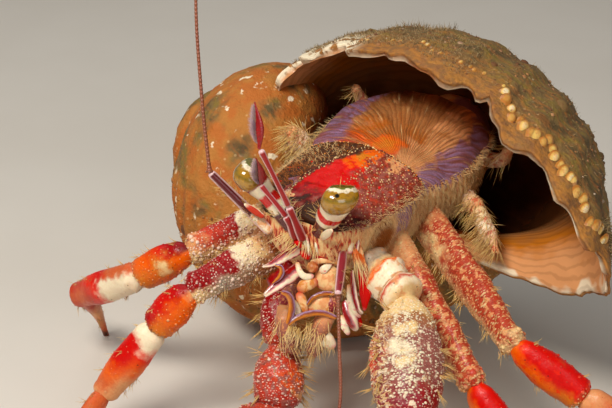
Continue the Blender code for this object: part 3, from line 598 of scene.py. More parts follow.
def cuticle(name, top, under=None, spots=(), bead="cream", mottle=None, split=(-0.5, 0.3), tilt=0.0,
            ridges=None, rough=0.36, grain=0.05, glow=0.12, pits=0.1):
    """Shell of a limb: colours along its top and its underside, spots, mottling and pale granules.

    A spot is (along, top, side, size, colour). mottle is (colour, how much, lump size), and ridges is
    (how many, from which side, to which side). pits is how large the small dark pits are.
    """
    paint = Paint(name)
    wander = paint.noise(1.6, 4.0)
    along = paint.add(paint.value("along"), paint.between(wander, 0.25, 0.75, -0.05, 0.05))
    colour = paint.ramp(along, top)
    if under:
        height = paint.add(paint.value("top"), paint.between(wander, 0.25, 0.75, -0.25, 0.25))
        height = paint.add(height, paint.times(paint.value("side"), tilt))
        colour = paint.mix(paint.between(height, *split), paint.ramp(along, under), colour)
    for place_along, place_top, place_side, size, shade in spots:
        away = paint.away(paint.grid(4.0, 1.0, 1.0), (4.0 * place_along, place_top, place_side))
        away = paint.add(away, paint.between(wander, 0.25, 0.75, -0.3, 0.3))
        colour = paint.over(colour, shade, away, size, size * 0.15)
    if mottle:
        shade, amount, size = mottle
        colour = paint.blotch(colour, shade, (size, 4.0), (0.62 - 0.3 * amount, 0.74 - 0.3 * amount), 0.8)
    if ridges:
        count, low, high = ridges
        waves = paint.math("SINE", paint.times(along, 2 * math.pi * count))
        edge = paint.between(paint.value("side"), low, high)
        colour = paint.mix(paint.times(edge, paint.between(waves, 0.1, 0.8, 0, 0.8)), colour, "cream")
    colour = paint.mix(paint.drift(0.35, 3.0, 0, 0.28, (0.35, 0.75)), colour, "wine", "SOFT_LIGHT")
    colour = paint.over(colour, bead, paint.value("bead"), 0.1, 0.9, 0.9)
    if pits:
        colour = paint.over(colour, "umber", paint.cells(1.6), pits, pits * 0.6, 0.7)
    colour = paint.blotch(colour, "tan", (2.5, 5.0), (0.58, 0.72), 0.25)
    dents = paint.bump(paint.add(paint.noise(0.22), paint.noise(0.7)), grain)
    rough = paint.drift(1.2, 3.0, rough - 0.08, rough + 0.1)
    return paint.finish(colour, rough, dents, glow=(glow, 0.8), shine=0.2, coat=(0.06, 0.1))


def hair(name, base, tip, rough=0.45, patches=()):
    """Bristles of two colours from root to tip, some paler. A patch is (middle, size in mm, colour)."""
    paint = Paint(name)
    colour = paint.ramp(paint.value("along"), f"0 {base}, 0.55 {tip}, 1 {tip}")
    colour = paint.over(colour, "cream", paint.value("tint"), 0, 1, 0.5)
    colour = paint.blotch(colour, base, (0.5, 2.0), (0.4, 0.8), 0.2)
    for middle, size, shade in patches:
        away = paint.away(paint.where, tuple(place(middle)))
        colour = paint.over(colour, shade, away, size * MM, size * MM * 0.5)
    return paint.finish(colour, rough, glow=(0.1, 0.3))


# Limbs

def limb(start, end, shape, scale=1.0, rows=84, sides=52, keel=0.0, overlap=0.6, tile=(0, 1)):
    """One stiff part of a limb. Its first end is a narrow neck and its far end a flared, rounded rim."""
    start, end = np.array(start, float), np.array(end, float)
    length = np.linalg.norm(end - start)
    even = np.linspace(0, 1, rows)
    share = -overlap / length + (1 + 2 * overlap / length) * (0.6 * even + 0.4 * ease(even))
    centres = start + (end - start) * share[:, None]
    widths, depths = (scale * profile(share, *sizes) for sizes in zip(*shape))
    from_start = (share - share[0]) * length
    from_end = (share[-1] - share) * length
    closing = rounded(from_start, 1.2 * widths[0]) * rounded(from_end, 0.9 * widths[-1])
    neck = 0.8 + 0.2 * ease((from_start - overlap) / (1.1 * widths[0]))
    rim = 1 + 0.07 * np.exp(-((from_end - overlap - 0.7) / 0.8) ** 2)
    factor = neck * rim * closing
    skin = Skin(sweep(centres, widths * factor, depths * factor, sides), share, tile=tile)
    if keel:
        skin.push(keel * np.clip(np.sin(skin.angle), 0, 1)[None] ** 6 * closing[:, None])
    return skin


def taper(root, tip, bend, shape, first, rows, round_end, neck, belly_at, tile, scale=1.0):
    """A pointed last part of a limb, bent by bend at its middle, that stands on the floor."""
    share = np.linspace(first, 1, rows)
    centres = root + (tip - root) * share[:, None] + bend * arch(share)[:, None]
    centres[:, 2] = np.maximum(centres[:, 2], FLOOR)
    length = np.linalg.norm(tip - root)
    closing = rounded((share - first) * length, round_end) * (1 - neck + neck * ease(share * length / 2.0))
    widths, depths = (scale * profile(share, *sizes, belly_at) * closing for sizes in zip(*shape))
    points = sweep(centres, widths, depths, 40)
    points[..., 2] = np.maximum(points[..., 2], FLOOR)
    return Skin(points, share, tile=tile)


def uneven(skin, depth, size, octaves=2):
    skin.push(depth * cloud(skin.points, size, octaves))


LEGS = {
    "leg2_r": ((-5, 12, -7), (-14.4, -7.9, -11.4), (-20, -9.2, -18.7), (-27.5, -13.5, -31),
               (-27, -26, FLOOR)),
    "leg3_r": ((-6, 21, -6), (-20, 0, -10), (-27.8, -2.7, -15.5), (-43, 0, -25), (-46.5, 11, FLOOR)),
    "leg2_l": ((6, 14, -6), (27.3, 1.6, -18.9), (33.4, 0.8, -26.2), (44.5, -5, -32.5), (57, -11, FLOOR)),
    "leg3_l": ((7, 22, -5), (30.7, 7.2, -14.4), (40.8, 8.6, -20.2), (54, 12, -28), (67, 14, FLOOR)),
}
LEG_PARTS = ("merus", "carpus", "propodus", "dactyl")
LEG_SHAPE = {
    "merus": ((2.3, 3.4), (2.2, 3.3), (1.8, 2.3)),
    "carpus": ((1.7, 2.0), (2.3, 2.8), (2.0, 2.4)),
    "propodus": ((1.9, 2.3), (2.2, 2.6), (1.6, 1.9)),
    "dactyl": ((1.5, 1.8), (1.4, 1.6), (0.5, 0.5)),
}
# How far a walking leg's last part bends forwards and up
DACTYL_BEND = (0.8, 1.6)
LEG_LOOKS = {
    "leg3_r_merus": dict(
        top="0 tan, 0.5 tan, 0.56 cream, 0.68 ivory, 0.72 crimson, 0.9 coral, 1 peach",
        under="0 tan, 0.6 peach, 1 cream", split=(-0.6, 0.1), tilt=0.35, mottle=("dusk", 0.15, 0.7),
        bead="pearl", pits=0),
    "leg3_r_carpus": dict(
        top="0 wine, 0.15 crimson, 0.4 red, 0.75 orange, 1 salmon",
        under="0 orange, 0.5 orange, 1 amber", split=(0.1, 0.75),
        spots=((0.44, 0.1, -0.8, 1.0, "amber"), (0.42, 0.1, -0.8, 0.6, "cream"))),
    "leg3_r_propodus": dict(
        top="0 salmon, 0.35 salmon, 0.47 red, 0.66 scarlet, 0.8 coral, 1 coral",
        under="0 ivory, 0.42 ivory, 0.54 scarlet, 0.66 coral, 0.82 salmon, 1 coral",
        split=(0.25, 0.75)),
    "leg3_r_dactyl": dict(top="0 salmon, 0.3 brick, 0.6 peach, 0.9 salmon, 1 umber"),
    "leg2_r_merus": dict(
        top="0 tan, 0.36 coral, 0.42 peach, 0.5 cream, 0.64 ivory, 0.7 crimson, 1 crimson",
        under="0 tan, 0.5 tan, 0.8 grey, 1 cream", split=(-0.4, 0.2), tilt=0.35,
        mottle=("dusk", 0.12, 0.7), bead="pearl", pits=0),
    "leg2_r_carpus": dict(
        top="0 crimson, 0.3 red, 0.7 red, 1 crimson",
        under="0 peach, 0.12 orange, 0.6 orange, 1 amber", split=(-0.1, 0.7)),
    "leg2_r_propodus": dict(
        top="0 ivory, 0.14 ivory, 0.24 red, 0.5 red, 0.68 orange, 0.85 salmon, 1 peach",
        under="0 ivory, 0.2 ivory, 0.32 scarlet, 0.5 orange, 0.72 peach, 1 peach",
        split=(-0.3, 0.6)),
    "leg2_r_dactyl": dict(top="0 salmon, 0.35 salmon, 0.5 brick, 0.85 peach, 1 umber"),
    "leg3_l_merus": dict(
        top="0 cream, 0.12 peach, 0.22 clay, 0.95 clay, 1 cream",
        under="0 cream, 0.5 peach, 1 cream", split=(-0.95, -0.3), tilt=-0.5,
        mottle=("peach", 0.36, 0.8), spots=((0.3, 0.2, 0.9, 0.7, "cream"),)),
    "leg3_l_carpus": dict(
        top="0 orange, 0.08 scarlet, 0.2 red, 0.9 red, 1 scarlet",
        under="0 orange, 0.5 orange, 1 amber", split=(-1.0, -0.15), tilt=-0.7,
        mottle=("scarlet", 0.2, 1.0)),
    "leg3_l_propodus": dict(
        top="0 peach, 0.3 salmon, 0.45 scarlet, 0.65 scarlet, 0.85 peach, 1 salmon"),
    "leg3_l_dactyl": dict(top="0 peach, 0.3 brick, 0.6 peach, 0.9 salmon, 1 umber"),
    "leg2_l_merus": dict(
        top="0 cream, 0.2 peach, 0.35 clay, 0.9 clay, 1 coral",
        under="0 cream, 1 peach", split=(-0.9, -0.3), tilt=-0.4, mottle=("peach", 0.5, 0.9)),
    "leg2_l_carpus": dict(
        top="0 scarlet, 0.2 red, 0.9 red, 1 orange",
        under="0 orange, 1 amber", split=(-1.0, -0.2), tilt=-0.6),
    "leg2_l_propodus": dict(
        top="0 ivory, 0.2 ivory, 0.3 red, 0.55 scarlet, 0.75 salmon, 1 peach"),
    "leg2_l_dactyl": dict(top="0 salmon, 0.35 brick, 0.6 peach, 0.9 salmon, 1 umber"),
}


def make_legs():
    coat = Form()
    for number, (leg, joints) in enumerate(LEGS.items()):
        for index, part in enumerate(LEG_PARTS):
            name = leg + "_" + part
            start, end = np.array(joints[index:index + 2], float)
            tile = (number * len(LEG_PARTS) + index, len(LEGS) * len(LEG_PARTS))
            if part == "dactyl":
                bend = unit((end - start) * (1, 1, 0)) * DACTYL_BEND[0] + UP * DACTYL_BEND[1]
                skin = taper(start, end, bend, LEG_SHAPE[part], -0.04, 80, 1.5, 0.18, 0.3, tile)
            else:
                skin = limb(start, end, LEG_SHAPE[part], keel=0.15, tile=tile)
                uneven(skin, 0.16 if part == "merus" else 0.1, 2.2)
            form = Form()
            form.add_skin(skin)
            dress_leg(form, coat, skin, part, leg.endswith("_r"))
            slot = "orange_cuticle" if part in ("propodus", "dactyl") else "red_cuticle"
            form.piece(name + "_skin", cuticle(name, **LEG_LOOKS[name]), slot, name)
    coat.piece("leg_bristles", hair("leg_hair", "tan", "straw"), "pale_cuticle")


def dress_leg(form, coat, skin, part, right):
    """Granules, rim knobs and bristles of one part of a walking leg."""
    if part == "merus":
        if right:
            strew(form, skin, 3400, lambda u, a: (u > 0.38) * (np.sin(a) > -0.7), 0.32, 0.125, 0.1,
                  stretch=1.1, sides=5, pale=(0.0, 0.8))
            beside = lambda u, a: (u > 0.4) * (np.cos(a) < 0.2) * (np.abs(np.sin(a)) < 0.6)
            strew(form, skin, 300, beside, 0.6, 0.2, 0.15, pale=(0.4, 1.0))
        else:
            strew(form, skin, 4200, lambda u, a: (u > 0.08) * (np.sin(a) > -0.85), 0.34, 0.115, 0.07,
                  stretch=2.2, sides=5, pale=(0.05, 0.8))
        strew(form, skin, 70, lambda u, a: (u > 0.955) * (u < 1.0), 0.5, 0.25, 0.2)
        fringe = tufts(skin, 30, 6, lambda u, a: (u > 0.1) * (np.abs(np.sin(a) + 0.75) < 0.3), 0.2)
        grow(coat, skin, fringe, (1.0, 2.6), 0.065, 1, 0.8, 0.5)
        crown = tufts(skin, 12, 4, lambda u, a: (u > 0.3) * (np.abs(np.sin(a) - 0.8) < 0.3))
        grow(coat, skin, crown, (0.7, 1.6), 0.06, 1, 1.2, 0.6)
        return
    if part == "carpus":
        strew(form, skin, 90, lambda u, a: (u > 0.93) * (u < 1.0), 0.4, 0.18, 0.13)
        strew(form, skin, 90, lambda u, a: np.sin(a) > 0.5, 0.8, 0.12, 0.09, bead=0.2)
        strew(form, skin, 260, lambda u, a: np.cos(a) + np.abs(np.sin(a) + 0.3) < 0.9, 0.5, 0.13, 0.09,
              pale=(0.1, 0.6))
    else:
        strew(form, skin, 130, lambda u, a: u < 0.9, 0.8, 0.1, 0.06, bead=0.3)
    edges = lambda u, a: (u > 0.05) * (u < 0.93) * (np.abs(np.sin(a)) > 0.75)
    grow(coat, skin, tufts(skin, 16 if part == "dactyl" else 9, 4, edges), (0.6, 1.7), 0.055, 1, 1, 0.6)


# Claw legs

CLAWS = {
    "claw_l": ((7, 6, -6), (16, 1.8, -8.7), (23, -10, -19.6), (25, -19, -25.5), (26, -33, -31.8),
               (23, -47, -39.0)),
    "claw_r": ((-3.5, 8, -8), (-6.4, 2.8, -14.2), (-3.6, -1.0, -20.8), (-0.6, -6.0, -28.2),
               (-4, -17.5, -33.2), (-8, -29.5, -39.1)),
}
CLAW_PARTS = ("ischium", "merus", "carpus", "palm")
CLAW_SHAPE = {
    "ischium": ((2.6, 3.0), (3.0, 3.4), (3.0, 3.4)),
    "merus": ((3.4, 3.3), (5.2, 4.4), (4.0, 3.8)),
    "carpus": ((3.6, 3.6), (5.3, 4.8), (4.8, 4.2)),
    "palm": ((4.4, 3.8), (6.9, 5.2), (5.6, 4.2)),
}
FINGER_SHAPE = ((2.5, 3.4), (2.5, 3.3), (0.5, 0.6))
# How far each finger stands out from the middle at its knuckle and at its tip, and how far it bows outwards
FINGER_SPREAD = (2.9, 0.75, 1.3)
RIGHT_SCALE = {"ischium": 0.62, "merus": 0.52, "carpus": 0.72, "palm": 0.72, "finger": 0.72}
# Low ridges across the side of the left claw's arm
RIDGES = 17
CLAW_LOOKS = {
    # On the left claw's ischium the thin tan line at 0.74 lies in the deepest crease of its folds and is
    # painted shade.
    "claw_l_ischium": dict(
        top="0 tan, 0.3 grey, 0.42 cream, 0.5 orange, 0.54 ivory, 0.7 ivory, 0.74 tan, 0.79 ivory, "
            "0.86 coral, 0.91 ivory, 1 cream", mottle=("peach", 0.25, 1.2), rough=0.26),
    "claw_l_merus": dict(
        top="0 cream, 0.14 cream, 0.2 tan, 0.32 dusk, 0.7 dusk, 0.9 garnet, 1 brick",
        under="0 peach, 0.4 brick, 1 wine", mottle=("ivory", 0.3, 0.8), ridges=(RIDGES, 0.4, 0.8),
        bead="ivory",
        spots=((0.55, 0.1, 1.0, 0.9, "scarlet"), (0.85, 0.4, -0.6, 0.9, "crimson"),
               (0.32, 1.0, 0.1, 0.5, "cream"), (0.46, 1.0, 0.15, 0.45, "ivory"),
               (0.6, 1.0, 0.1, 0.36, "cream"))),
    "claw_l_carpus": dict(top="0 brick, 0.5 coral, 1 brick", mottle=("dusk", 0.4, 1.2), bead="pearl"),
    "claw_l_palm": dict(top="0 brick, 0.5 coral, 1 brick", mottle=("dusk", 0.35, 1.5), bead="pearl"),
    "claw_l_finger": dict(top="0 brick, 0.5 crimson, 0.85 brick, 0.9 umber, 1 black"),
    "claw_r_ischium": dict(top="0 peach, 0.4 crimson, 1 crimson"),
    "claw_r_merus": dict(top="0 crimson, 0.6 crimson, 1 coral", mottle=("dusk", 0.3, 0.8),
                         bead="pearl"),
    "claw_r_carpus": dict(
        top="0 coral, 0.5 coral, 1 brick", mottle=("dusk", 0.5, 0.8), bead="pearl",
        spots=((0.6, 0.4, -0.7, 1.1, "orange"), (0.8, 0.2, -0.9, 0.6, "peach"))),
    "claw_r_palm": dict(top="0 coral, 0.5 brick, 1 crimson", mottle=("dusk", 0.4, 1.0), bead="pearl"),
    "claw_r_finger": dict(top="0 brick, 0.5 crimson, 0.85 brick, 0.9 umber, 1 black"),
}


def make_claws():
    coat = Form()
    parts = CLAW_PARTS + ("fixed_finger", "dactyl")
    for number, (claw, joints) in enumerate(CLAWS.items()):
        left = claw.endswith("_l")
        joints = np.array(joints, float)
        for index, part in enumerate(parts):
            name = claw + "_" + part
            tile = (number * len(parts) + index, 2 * len(parts))
            kind = part if part in CLAW_SHAPE else "finger"
            scale = 1.0 if left else RIGHT_SCALE[kind]
            if kind == "finger":
                knuckle, tip = joints[4:]
                lean = unit(np.cross(unit(tip - knuckle), UP)) * (1 if part == "fixed_finger" else -1)
                wide, narrow, bow = (lean * size * scale for size in FINGER_SPREAD)
                skin = taper(knuckle + wide, tip + narrow, bow, FINGER_SHAPE, -0.05, 70, 2 * scale, 0, 0.25,
                             tile, scale)
            else:
                ends = joints[index:index + 2]
                skin = limb(*ends, CLAW_SHAPE[part], scale, 110, 80, overlap=scale, tile=tile)
            uneven(skin, 0.25 * scale, 3.0 * scale)
            along = skin.along[:, None]
            if part == "ischium":
                folds = np.sin(5 * np.pi * along) + 0.4 * np.sin(13 * np.pi * along)
                skin.push(0.3 * scale * folds * (0.8 + 0.2 * np.sin(3 * skin.angle)))
            if part == "merus" and left:
                ridge = np.clip((np.cos(skin.angle) - 0.3) / 0.4, 0, 1)
                skin.push(0.16 * np.sin(2 * np.pi * RIDGES * along) * ridge)
            form = Form()
            form.add_skin(skin)
            dress_claw(form, coat, skin, part, scale, left)
            form.piece(name + "_skin", cuticle(name, **CLAW_LOOKS[claw + "_" + kind]), "red_cuticle", name)
    coat.piece("claw_bristles", hair("claw_hair", "tan", "straw"), "pale_cuticle")


def dress_claw(form, coat, skin, part, scale, left):
    """Granules and bristles of one part of a claw leg."""
    whole = lambda u, a: (u > 0.03) * (u < 0.97)
    if part == "ischium":
        strew(form, skin, int(160 * scale), whole, 0.7, 0.1, 0.05, bead=0.2)
        return
    strew(form, skin, int(6000 * scale), whole, 0.3, 0.1, 0.08, stretch=1.5, sides=5, pale=(0.0, 0.8))
    strew(form, skin, int(420 * scale), whole, 0.7, 0.15, 0.13, stretch=1.25, pale=(0.4, 1.0))
    if part == "merus" and left:
        strew(form, skin, 650, lambda u, a: (u > 0.15) * (u < 0.85) * np.exp(-((a - 1.45) / 0.28) ** 2), 0.28,
              0.16, 0.11, stretch=1.3, sides=5, pale=(0.6, 1.0))
    groups = int(24 * scale)
    edge = tufts(skin, groups, 6, lambda u, a: (u > 0.05) * (u < 0.95) * (np.abs(np.cos(a)) > 0.8))
    grow(coat, skin, edge, (1.2, 3.2), 0.08, 1, 0.6, 0.35)
    grow(coat, skin, tufts(skin, groups, 4, whole), (0.4, 1.1), 0.045, 0.6, 1, 0.5)


# Hind legs

UPPER_HIND_SHAPE = ((1.9, 2.2), (2.0, 2.3), (1.5, 1.7))
LOWER_HIND_SHAPE = ((1.4, 1.6), (1.7, 1.9), (0.8, 0.9))
LAST_LEG_RADII = (1.5, 1.3, 1.2, 0.7)
HIND_LEGS = {
    "leg4_l": ((8, 29, -3), (15.5, 25.5, -4.5), (20.5, 21.5, -8.5)),
    "leg4_r": ((-8, 27, -3), (-13.5, 23.5, -1.8), (-15.2, 21.4, 2.8)),
    "leg5_l": ((5, 37, -2), (12.5, 38.5, -2.5), (15.5, 36.5, 1.0)),
    "leg5_r": ((-5, 37, 0), (-11.0, 38.5, 1.0), (-12.5, 36.5, 5.5)),
}


def tube(points, radii, rows=60, sides=24, up=UP, flat=1.0, tile=(0, 1)):
    """A smooth stalk through points with radii spread evenly along it and rounded ends."""
    share = np.linspace(0, 1, rows)
    centres = curve(points, share)
    sizes = np.interp(share, np.linspace(0, 1, len(radii)), radii)
    length = np.linalg.norm(np.diff(centres, axis=0), axis=1).sum()
    sizes = sizes * rounded(share * length, radii[0], 0.995) * rounded((1 - share) * length, radii[-1], 0.995)
    return Skin(sweep(centres, sizes, sizes * flat, sides, up), share, tile=tile)


def make_hind_legs():
    coat = Form()
    pale = cuticle("hind_leg", top="0 cream, 0.5 ivory, 1 peach", mottle=("coral", 0.3, 1.1), rough=0.4)
    skins = {}
    for leg, joints in HIND_LEGS.items():
        tile = (len(skins), 6)
        if leg.startswith("leg5"):
            skins[leg] = tube(joints, LAST_LEG_RADII, tile=tile)
        else:
            thin = 0.74 if leg.endswith("_l") else 1.0
            skins[leg + "_upper"] = limb(*joints[:2], UPPER_HIND_SHAPE, thin, tile=tile)
            skins[leg + "_lower"] = limb(*joints[1:], LOWER_HIND_SHAPE, thin, tile=(len(skins), 6))
    for node, skin in skins.items():
        uneven(skin, 0.15, 1.5)
        form = Form()
        form.add_skin(skin)
        strew(form, skin, 300, None, 0.4, 0.13, 0.08, bead=0.6)
        form.piece(node + "_skin", pale, "pale_cuticle", node)
        fur = skin.spots(340 if node.startswith("leg4") else 80, lambda u, a: u > 0.1)
        left = node[:6].endswith("_l")
        hang = -UP * 0.8 - PICTURE_RIGHT * 0.5 if left else -PICTURE_UP * 0.4 - PICTURE_RIGHT * 0.6
        grow(coat, skin, fur, (1.4, 3.4), 0.065, 0.7, 0, 0.35, hang, bend=-UP * 0.15)
    coat.piece("hind_leg_bristles", hair("hind_hair", "tan", "straw"), "pale_cuticle")


# Eyes

EYE_ROOTS = {"l": (3.3, -0.4, 0.4), "r": (-1.9, -0.6, 0.4)}
EYE_TIP = (7.0, -2.2, 6.3)
STALK_RADII = {"l": (1.35, 1.9, 2.1), "r": (1.5, 1.35, 2.0)}
STALK_BANDS = {
    "l": "0 wine, 0.38 wine, 0.42 ivory, 0.54 ivory, 0.57 red, 0.72 red, 0.75 ivory, 1 ivory",
    "r": "0 wine, 0.2 wine, 0.24 ivory, 0.4 ivory, 0.44 red, 0.6 red, 0.64 ivory, 0.82 ivory, 0.86 crimson",
}
# Which way the flat top of each cornea faces, as right, up and towards the camera in the picture
CORNEA_TOPS = {"l": (0.06, 0.95, 0.22), "r": (0.4, 0.8, 0.36)}
# A cornea's half widths and half length in mm, and the level of it, as a share of that length from its
# middle, that lies a small gap past the stalk's tip
CORNEA_SIZE = (2.8, 2.1)
CORNEA_LENGTH = 2.1
CORNEA_LOW = -0.25
GAP = 0.3
# The small dark spot on the left cornea
PUPIL_WAY = np.array([0.25, -0.75, 0.61])
PUPIL_SIZE = 0.155
# The pale scale beside each eye: its ends, its move right and up in the picture, and its half widths
ACICLE_ROOT = (3.6, -2.0, -1.2)
ACICLE_TIP = (7.0, -4.6, 2.4)
ACICLES = {"l": ((0.5, 0.6), (0.35, 0.62, 0.6, 0.25)), "r": ((0.0, 0.9), (0.3, 0.5, 0.45, 0.15))}
# Its colours above and below, where they meet and how slanted that line is
ACICLE_LOOKS = {
    "l": ("0 peach, 0.3 ivory, 1 ivory", "0 orange, 1 coral", (-0.6, -0.1), -1.2),
    "r": ("0 coral, 0.8 coral, 1 ivory", "0 ivory, 1 ivory", (-0.2, 0.2), -0.9),
}
# The picture's place of the lone bristle over the left eye
LONE_BRISTLE = (340.2, 185.6, 8.6)


def mirrored(point, side):
    return np.array([point[0] * side, point[1], point[2]], float)


def stalk_paint(tag):
    """Bands along an eyestalk, slightly slanted and wavy, under a clear coat."""
    paint = Paint("eyestalk_" + tag)
    along = paint.add(paint.value("along"), paint.times(paint.value("side"), 0.035))
    along = paint.add(along, paint.drift(0.9, 2.0, -0.015, 0.015))
    colour = paint.ramp(along, STALK_BANDS[tag])
    return paint.finish(colour, 0.22, paint.bump(paint.noise(0.4), 0.04), coat=(0.6, 0.06), glow=(0.15, 0.6))


def cornea_paint():
    """Olive and gold glassy cornea with fine facets, an ivory ring under its flat top that is a painted
    highlight, and a small dark spot.
    """
    paint = Paint("cornea")
    height = paint.add(paint.value("top"), paint.drift(0.9, 3.0, -0.03, 0.03))
    # The ivory band from 0.8 to 0.87, just under the flat top, is a painted highlight: the key light's
    # reflection along the upper rim.
    colour = paint.ramp(height, "0 umber, 0.08 olive, 0.2 gold, 0.42 gold, 0.55 olive, 0.66 gold, 0.77 gold, "
                                "0.8 ivory, 0.87 ivory, 0.9 leaf, 1 olive")
    colour = paint.blotch(colour, "moss", (0.5, 3.0), (0.5, 0.7), 0.4)
    colour = paint.blotch(colour, "rust", (0.7, 3.0), (0.55, 0.75), 0.35)
    colour = paint.mix(paint.value("bead"), colour, "black")
    facets = paint.bump(paint.cells(0.12), 0.008)
    return paint.finish(colour, 0.1, facets, coat=(1.0, 0.02, 1.5))


def cornea(form, centre, way, tag):
    """A blunt ball with a nearly flat top, round the stalk's own way."""
    lift = -np.cos(np.pi * np.linspace(0.12, 0.999, 72))
    across = unit(np.cross(way, UP))
    over = np.cross(across, way)
    angle = ring(96)[:, None]
    oval = across * CORNEA_SIZE[0] * np.cos(angle) + over * CORNEA_SIZE[1] * np.sin(angle)
    flat = (1 - np.abs(lift) ** 2.5) ** (1 / 2.5)
    ball = way * (CORNEA_LENGTH * lift)[:, None, None] + flat[:, None, None] * oval
    right, up, near = CORNEA_TOPS[tag]
    upright = unit(PICTURE_RIGHT * right + PICTURE_UP * up + TO_CAMERA * near)
    height = ball @ upright
    ball = ball - upright * (0.82 * np.maximum(height - 0.8 * height.max(), 0))[..., None]
    far = np.linalg.norm(unit(ball) - unit(PUPIL_WAY), axis=-1)
    dark = np.clip((PUPIL_SIZE - far) / 0.05, 0, 1) * (tag == "l")
    top = (height / height.max() + 1) / 2
    form.add_grid(centre + ball, along=(lift[:, None] + 1) / 2, bead=dark, top=top)


def make_eyes():
    coat = Form()
    corneas = cornea_paint()
    acicles = {tag: cuticle("acicle_" + tag, top, under, split=split, tilt=tilt, glow=0.2, pits=0)
               for tag, (top, under, split, tilt) in ACICLE_LOOKS.items()}
    for index, (tag, side) in enumerate((("l", 1), ("r", -1))):
        root, tip = np.array(EYE_ROOTS[tag]), mirrored(EYE_TIP, side)
        way = unit(tip - root)
        share = np.linspace(-0.1, 1.06, 60)
        sizes = profile(share, *STALK_RADII[tag])
        sizes[-6:] *= np.sqrt(1 - (np.arange(6) / 6) ** 2)
        skin = Skin(sweep(root + (tip - root) * share[:, None], sizes, sizes, 48), share, tile=(1 - index, 3))
        cover(skin, "eyestalk_%s_skin" % tag, stalk_paint(tag), "red_cuticle", "eyestalk_" + tag)
        collar = tufts(skin, 12, 3, lambda u, a: (u > 0.02) * (u < 0.36))
        grow(coat, skin, collar, (0.8, 2.0), 0.05, 1, 0.6, 0.6)
        form = Form()
        cornea(form, tip + way * (GAP - CORNEA_LOW * CORNEA_LENGTH), way, tag)
        form.piece("cornea_%s_skin" % tag, corneas, "cornea", "cornea_" + tag)
        foot, point = mirrored(ACICLE_ROOT, side), mirrored(ACICLE_TIP, side)
        (right, up), widths = ACICLES[tag]
        shift = PICTURE_RIGHT * right + PICTURE_UP * up
        if tag == "r":
            foot = foot + (point - foot) * 0.35
        skin = tube((foot + shift, (foot + point) / 2 + shift, point + shift), widths, 40, 28, TO_CAMERA, 0.5)
        cover(skin, "acicle_%s_skin" % tag, acicles[tag], "pale_cuticle", "acicle_" + tag)
    lone = {"root": seen(*LONE_BRISTLE)[None], "out": PICTURE_UP[None], "along": np.array([0.5]),
            "angle": np.array([1.0])}
    bristles(coat, lone, (PICTURE_UP + PICTURE_RIGHT * 0.12)[None], 1.4, 0.08, tile=(2, 3))
    coat.piece("eye_bristles", hair("eye_hair", "honey", "straw"), "pale_cuticle")


# Feelers

ANTENNULES = {
    "l": ((1.0, -1.6, -1.6), (0.3, -4.6, 5.2), (-2.8, -7.0, 14.4), (-3.9, -6.2, 20.4)),
    "r": ((-0.2, -1.6, -1.6), (-0.7, -3.6, 2.7), (-4.1, -4.7, 7.2), (-3.8, -6.2, 12.0)),
}
ANTENNAE = {
    "l": ((6.2, 0.9, -3.0), (10.4, -7.8, -4.6), (12.8, -11.4, -10.6), (15, -15, -17.3), (15.6, -20, -24.5),
          (14.2, -28, -30), (11.5, -40, -33)),
    "r": ((-4.6, -1.2, -2.2), (-12.7, -4.7, 7.0), (-15.0, -2.8, 17), (-17.5, 0, 30), (-19.5, 4.5, 42),
          (-22, 11, 52), (-26, 20, 60)),
}
ANTENNULE_RADII = ((0.72, 0.66, 0.5, 0.58), (0.48, 0.38, 0.36, 0.5))
# A flagellum's radius at its root and its tip, and its rings
FLAGELLUM = (0.27, 0.15)
FLAGELLUM_RINGS = 110
BLADE_OVERLAP = 0.5
# How thick each antenna's base is, up to which share of it is pale, and its two reds
ANTENNA_BASES = {
    "l": ((0.55, 0.66, 0.6, 0.5), 0.06, "garnet", "crimson"),
    "r": ((0.75, 0.75, 0.68, 0.6), 0.34, "wine", "rust"),
}


def rod_paint(name, top, under, pale=0.0):
    """A red rod with pale edges and pale joints, its root pale up to a share of its length."""
    paint = Paint(name)
    height = paint.add(paint.value("top"), paint.drift(0.8, 3.0, -0.2, 0.2))
    colour = paint.over(under, top, height, -0.2, 0.5)
    if pale:
        along = paint.add(paint.value("along"), paint.drift(1.0, 3.0, -0.03, 0.03))
        root = paint.blotch("peach", "ivory", (0.7, 3.0), (0.4, 0.6))
        colour = paint.over(colour, root, along, pale + 0.02, pale - 0.02)
    edge = paint.between(paint.math("ABSOLUTE", paint.value("side")), 0.55, 0.9, 0, 0.85)
    colour = paint.mix(edge, colour, "blush")
    colour = paint.over(colour, "blush", paint.value("bead"), 0.2, 0.8, 0.8)
    return paint.finish(colour, 0.34, paint.bump(paint.noise(0.3), 0.03), coat=(0.2, 0.1), glow=(0.1, 0.5))


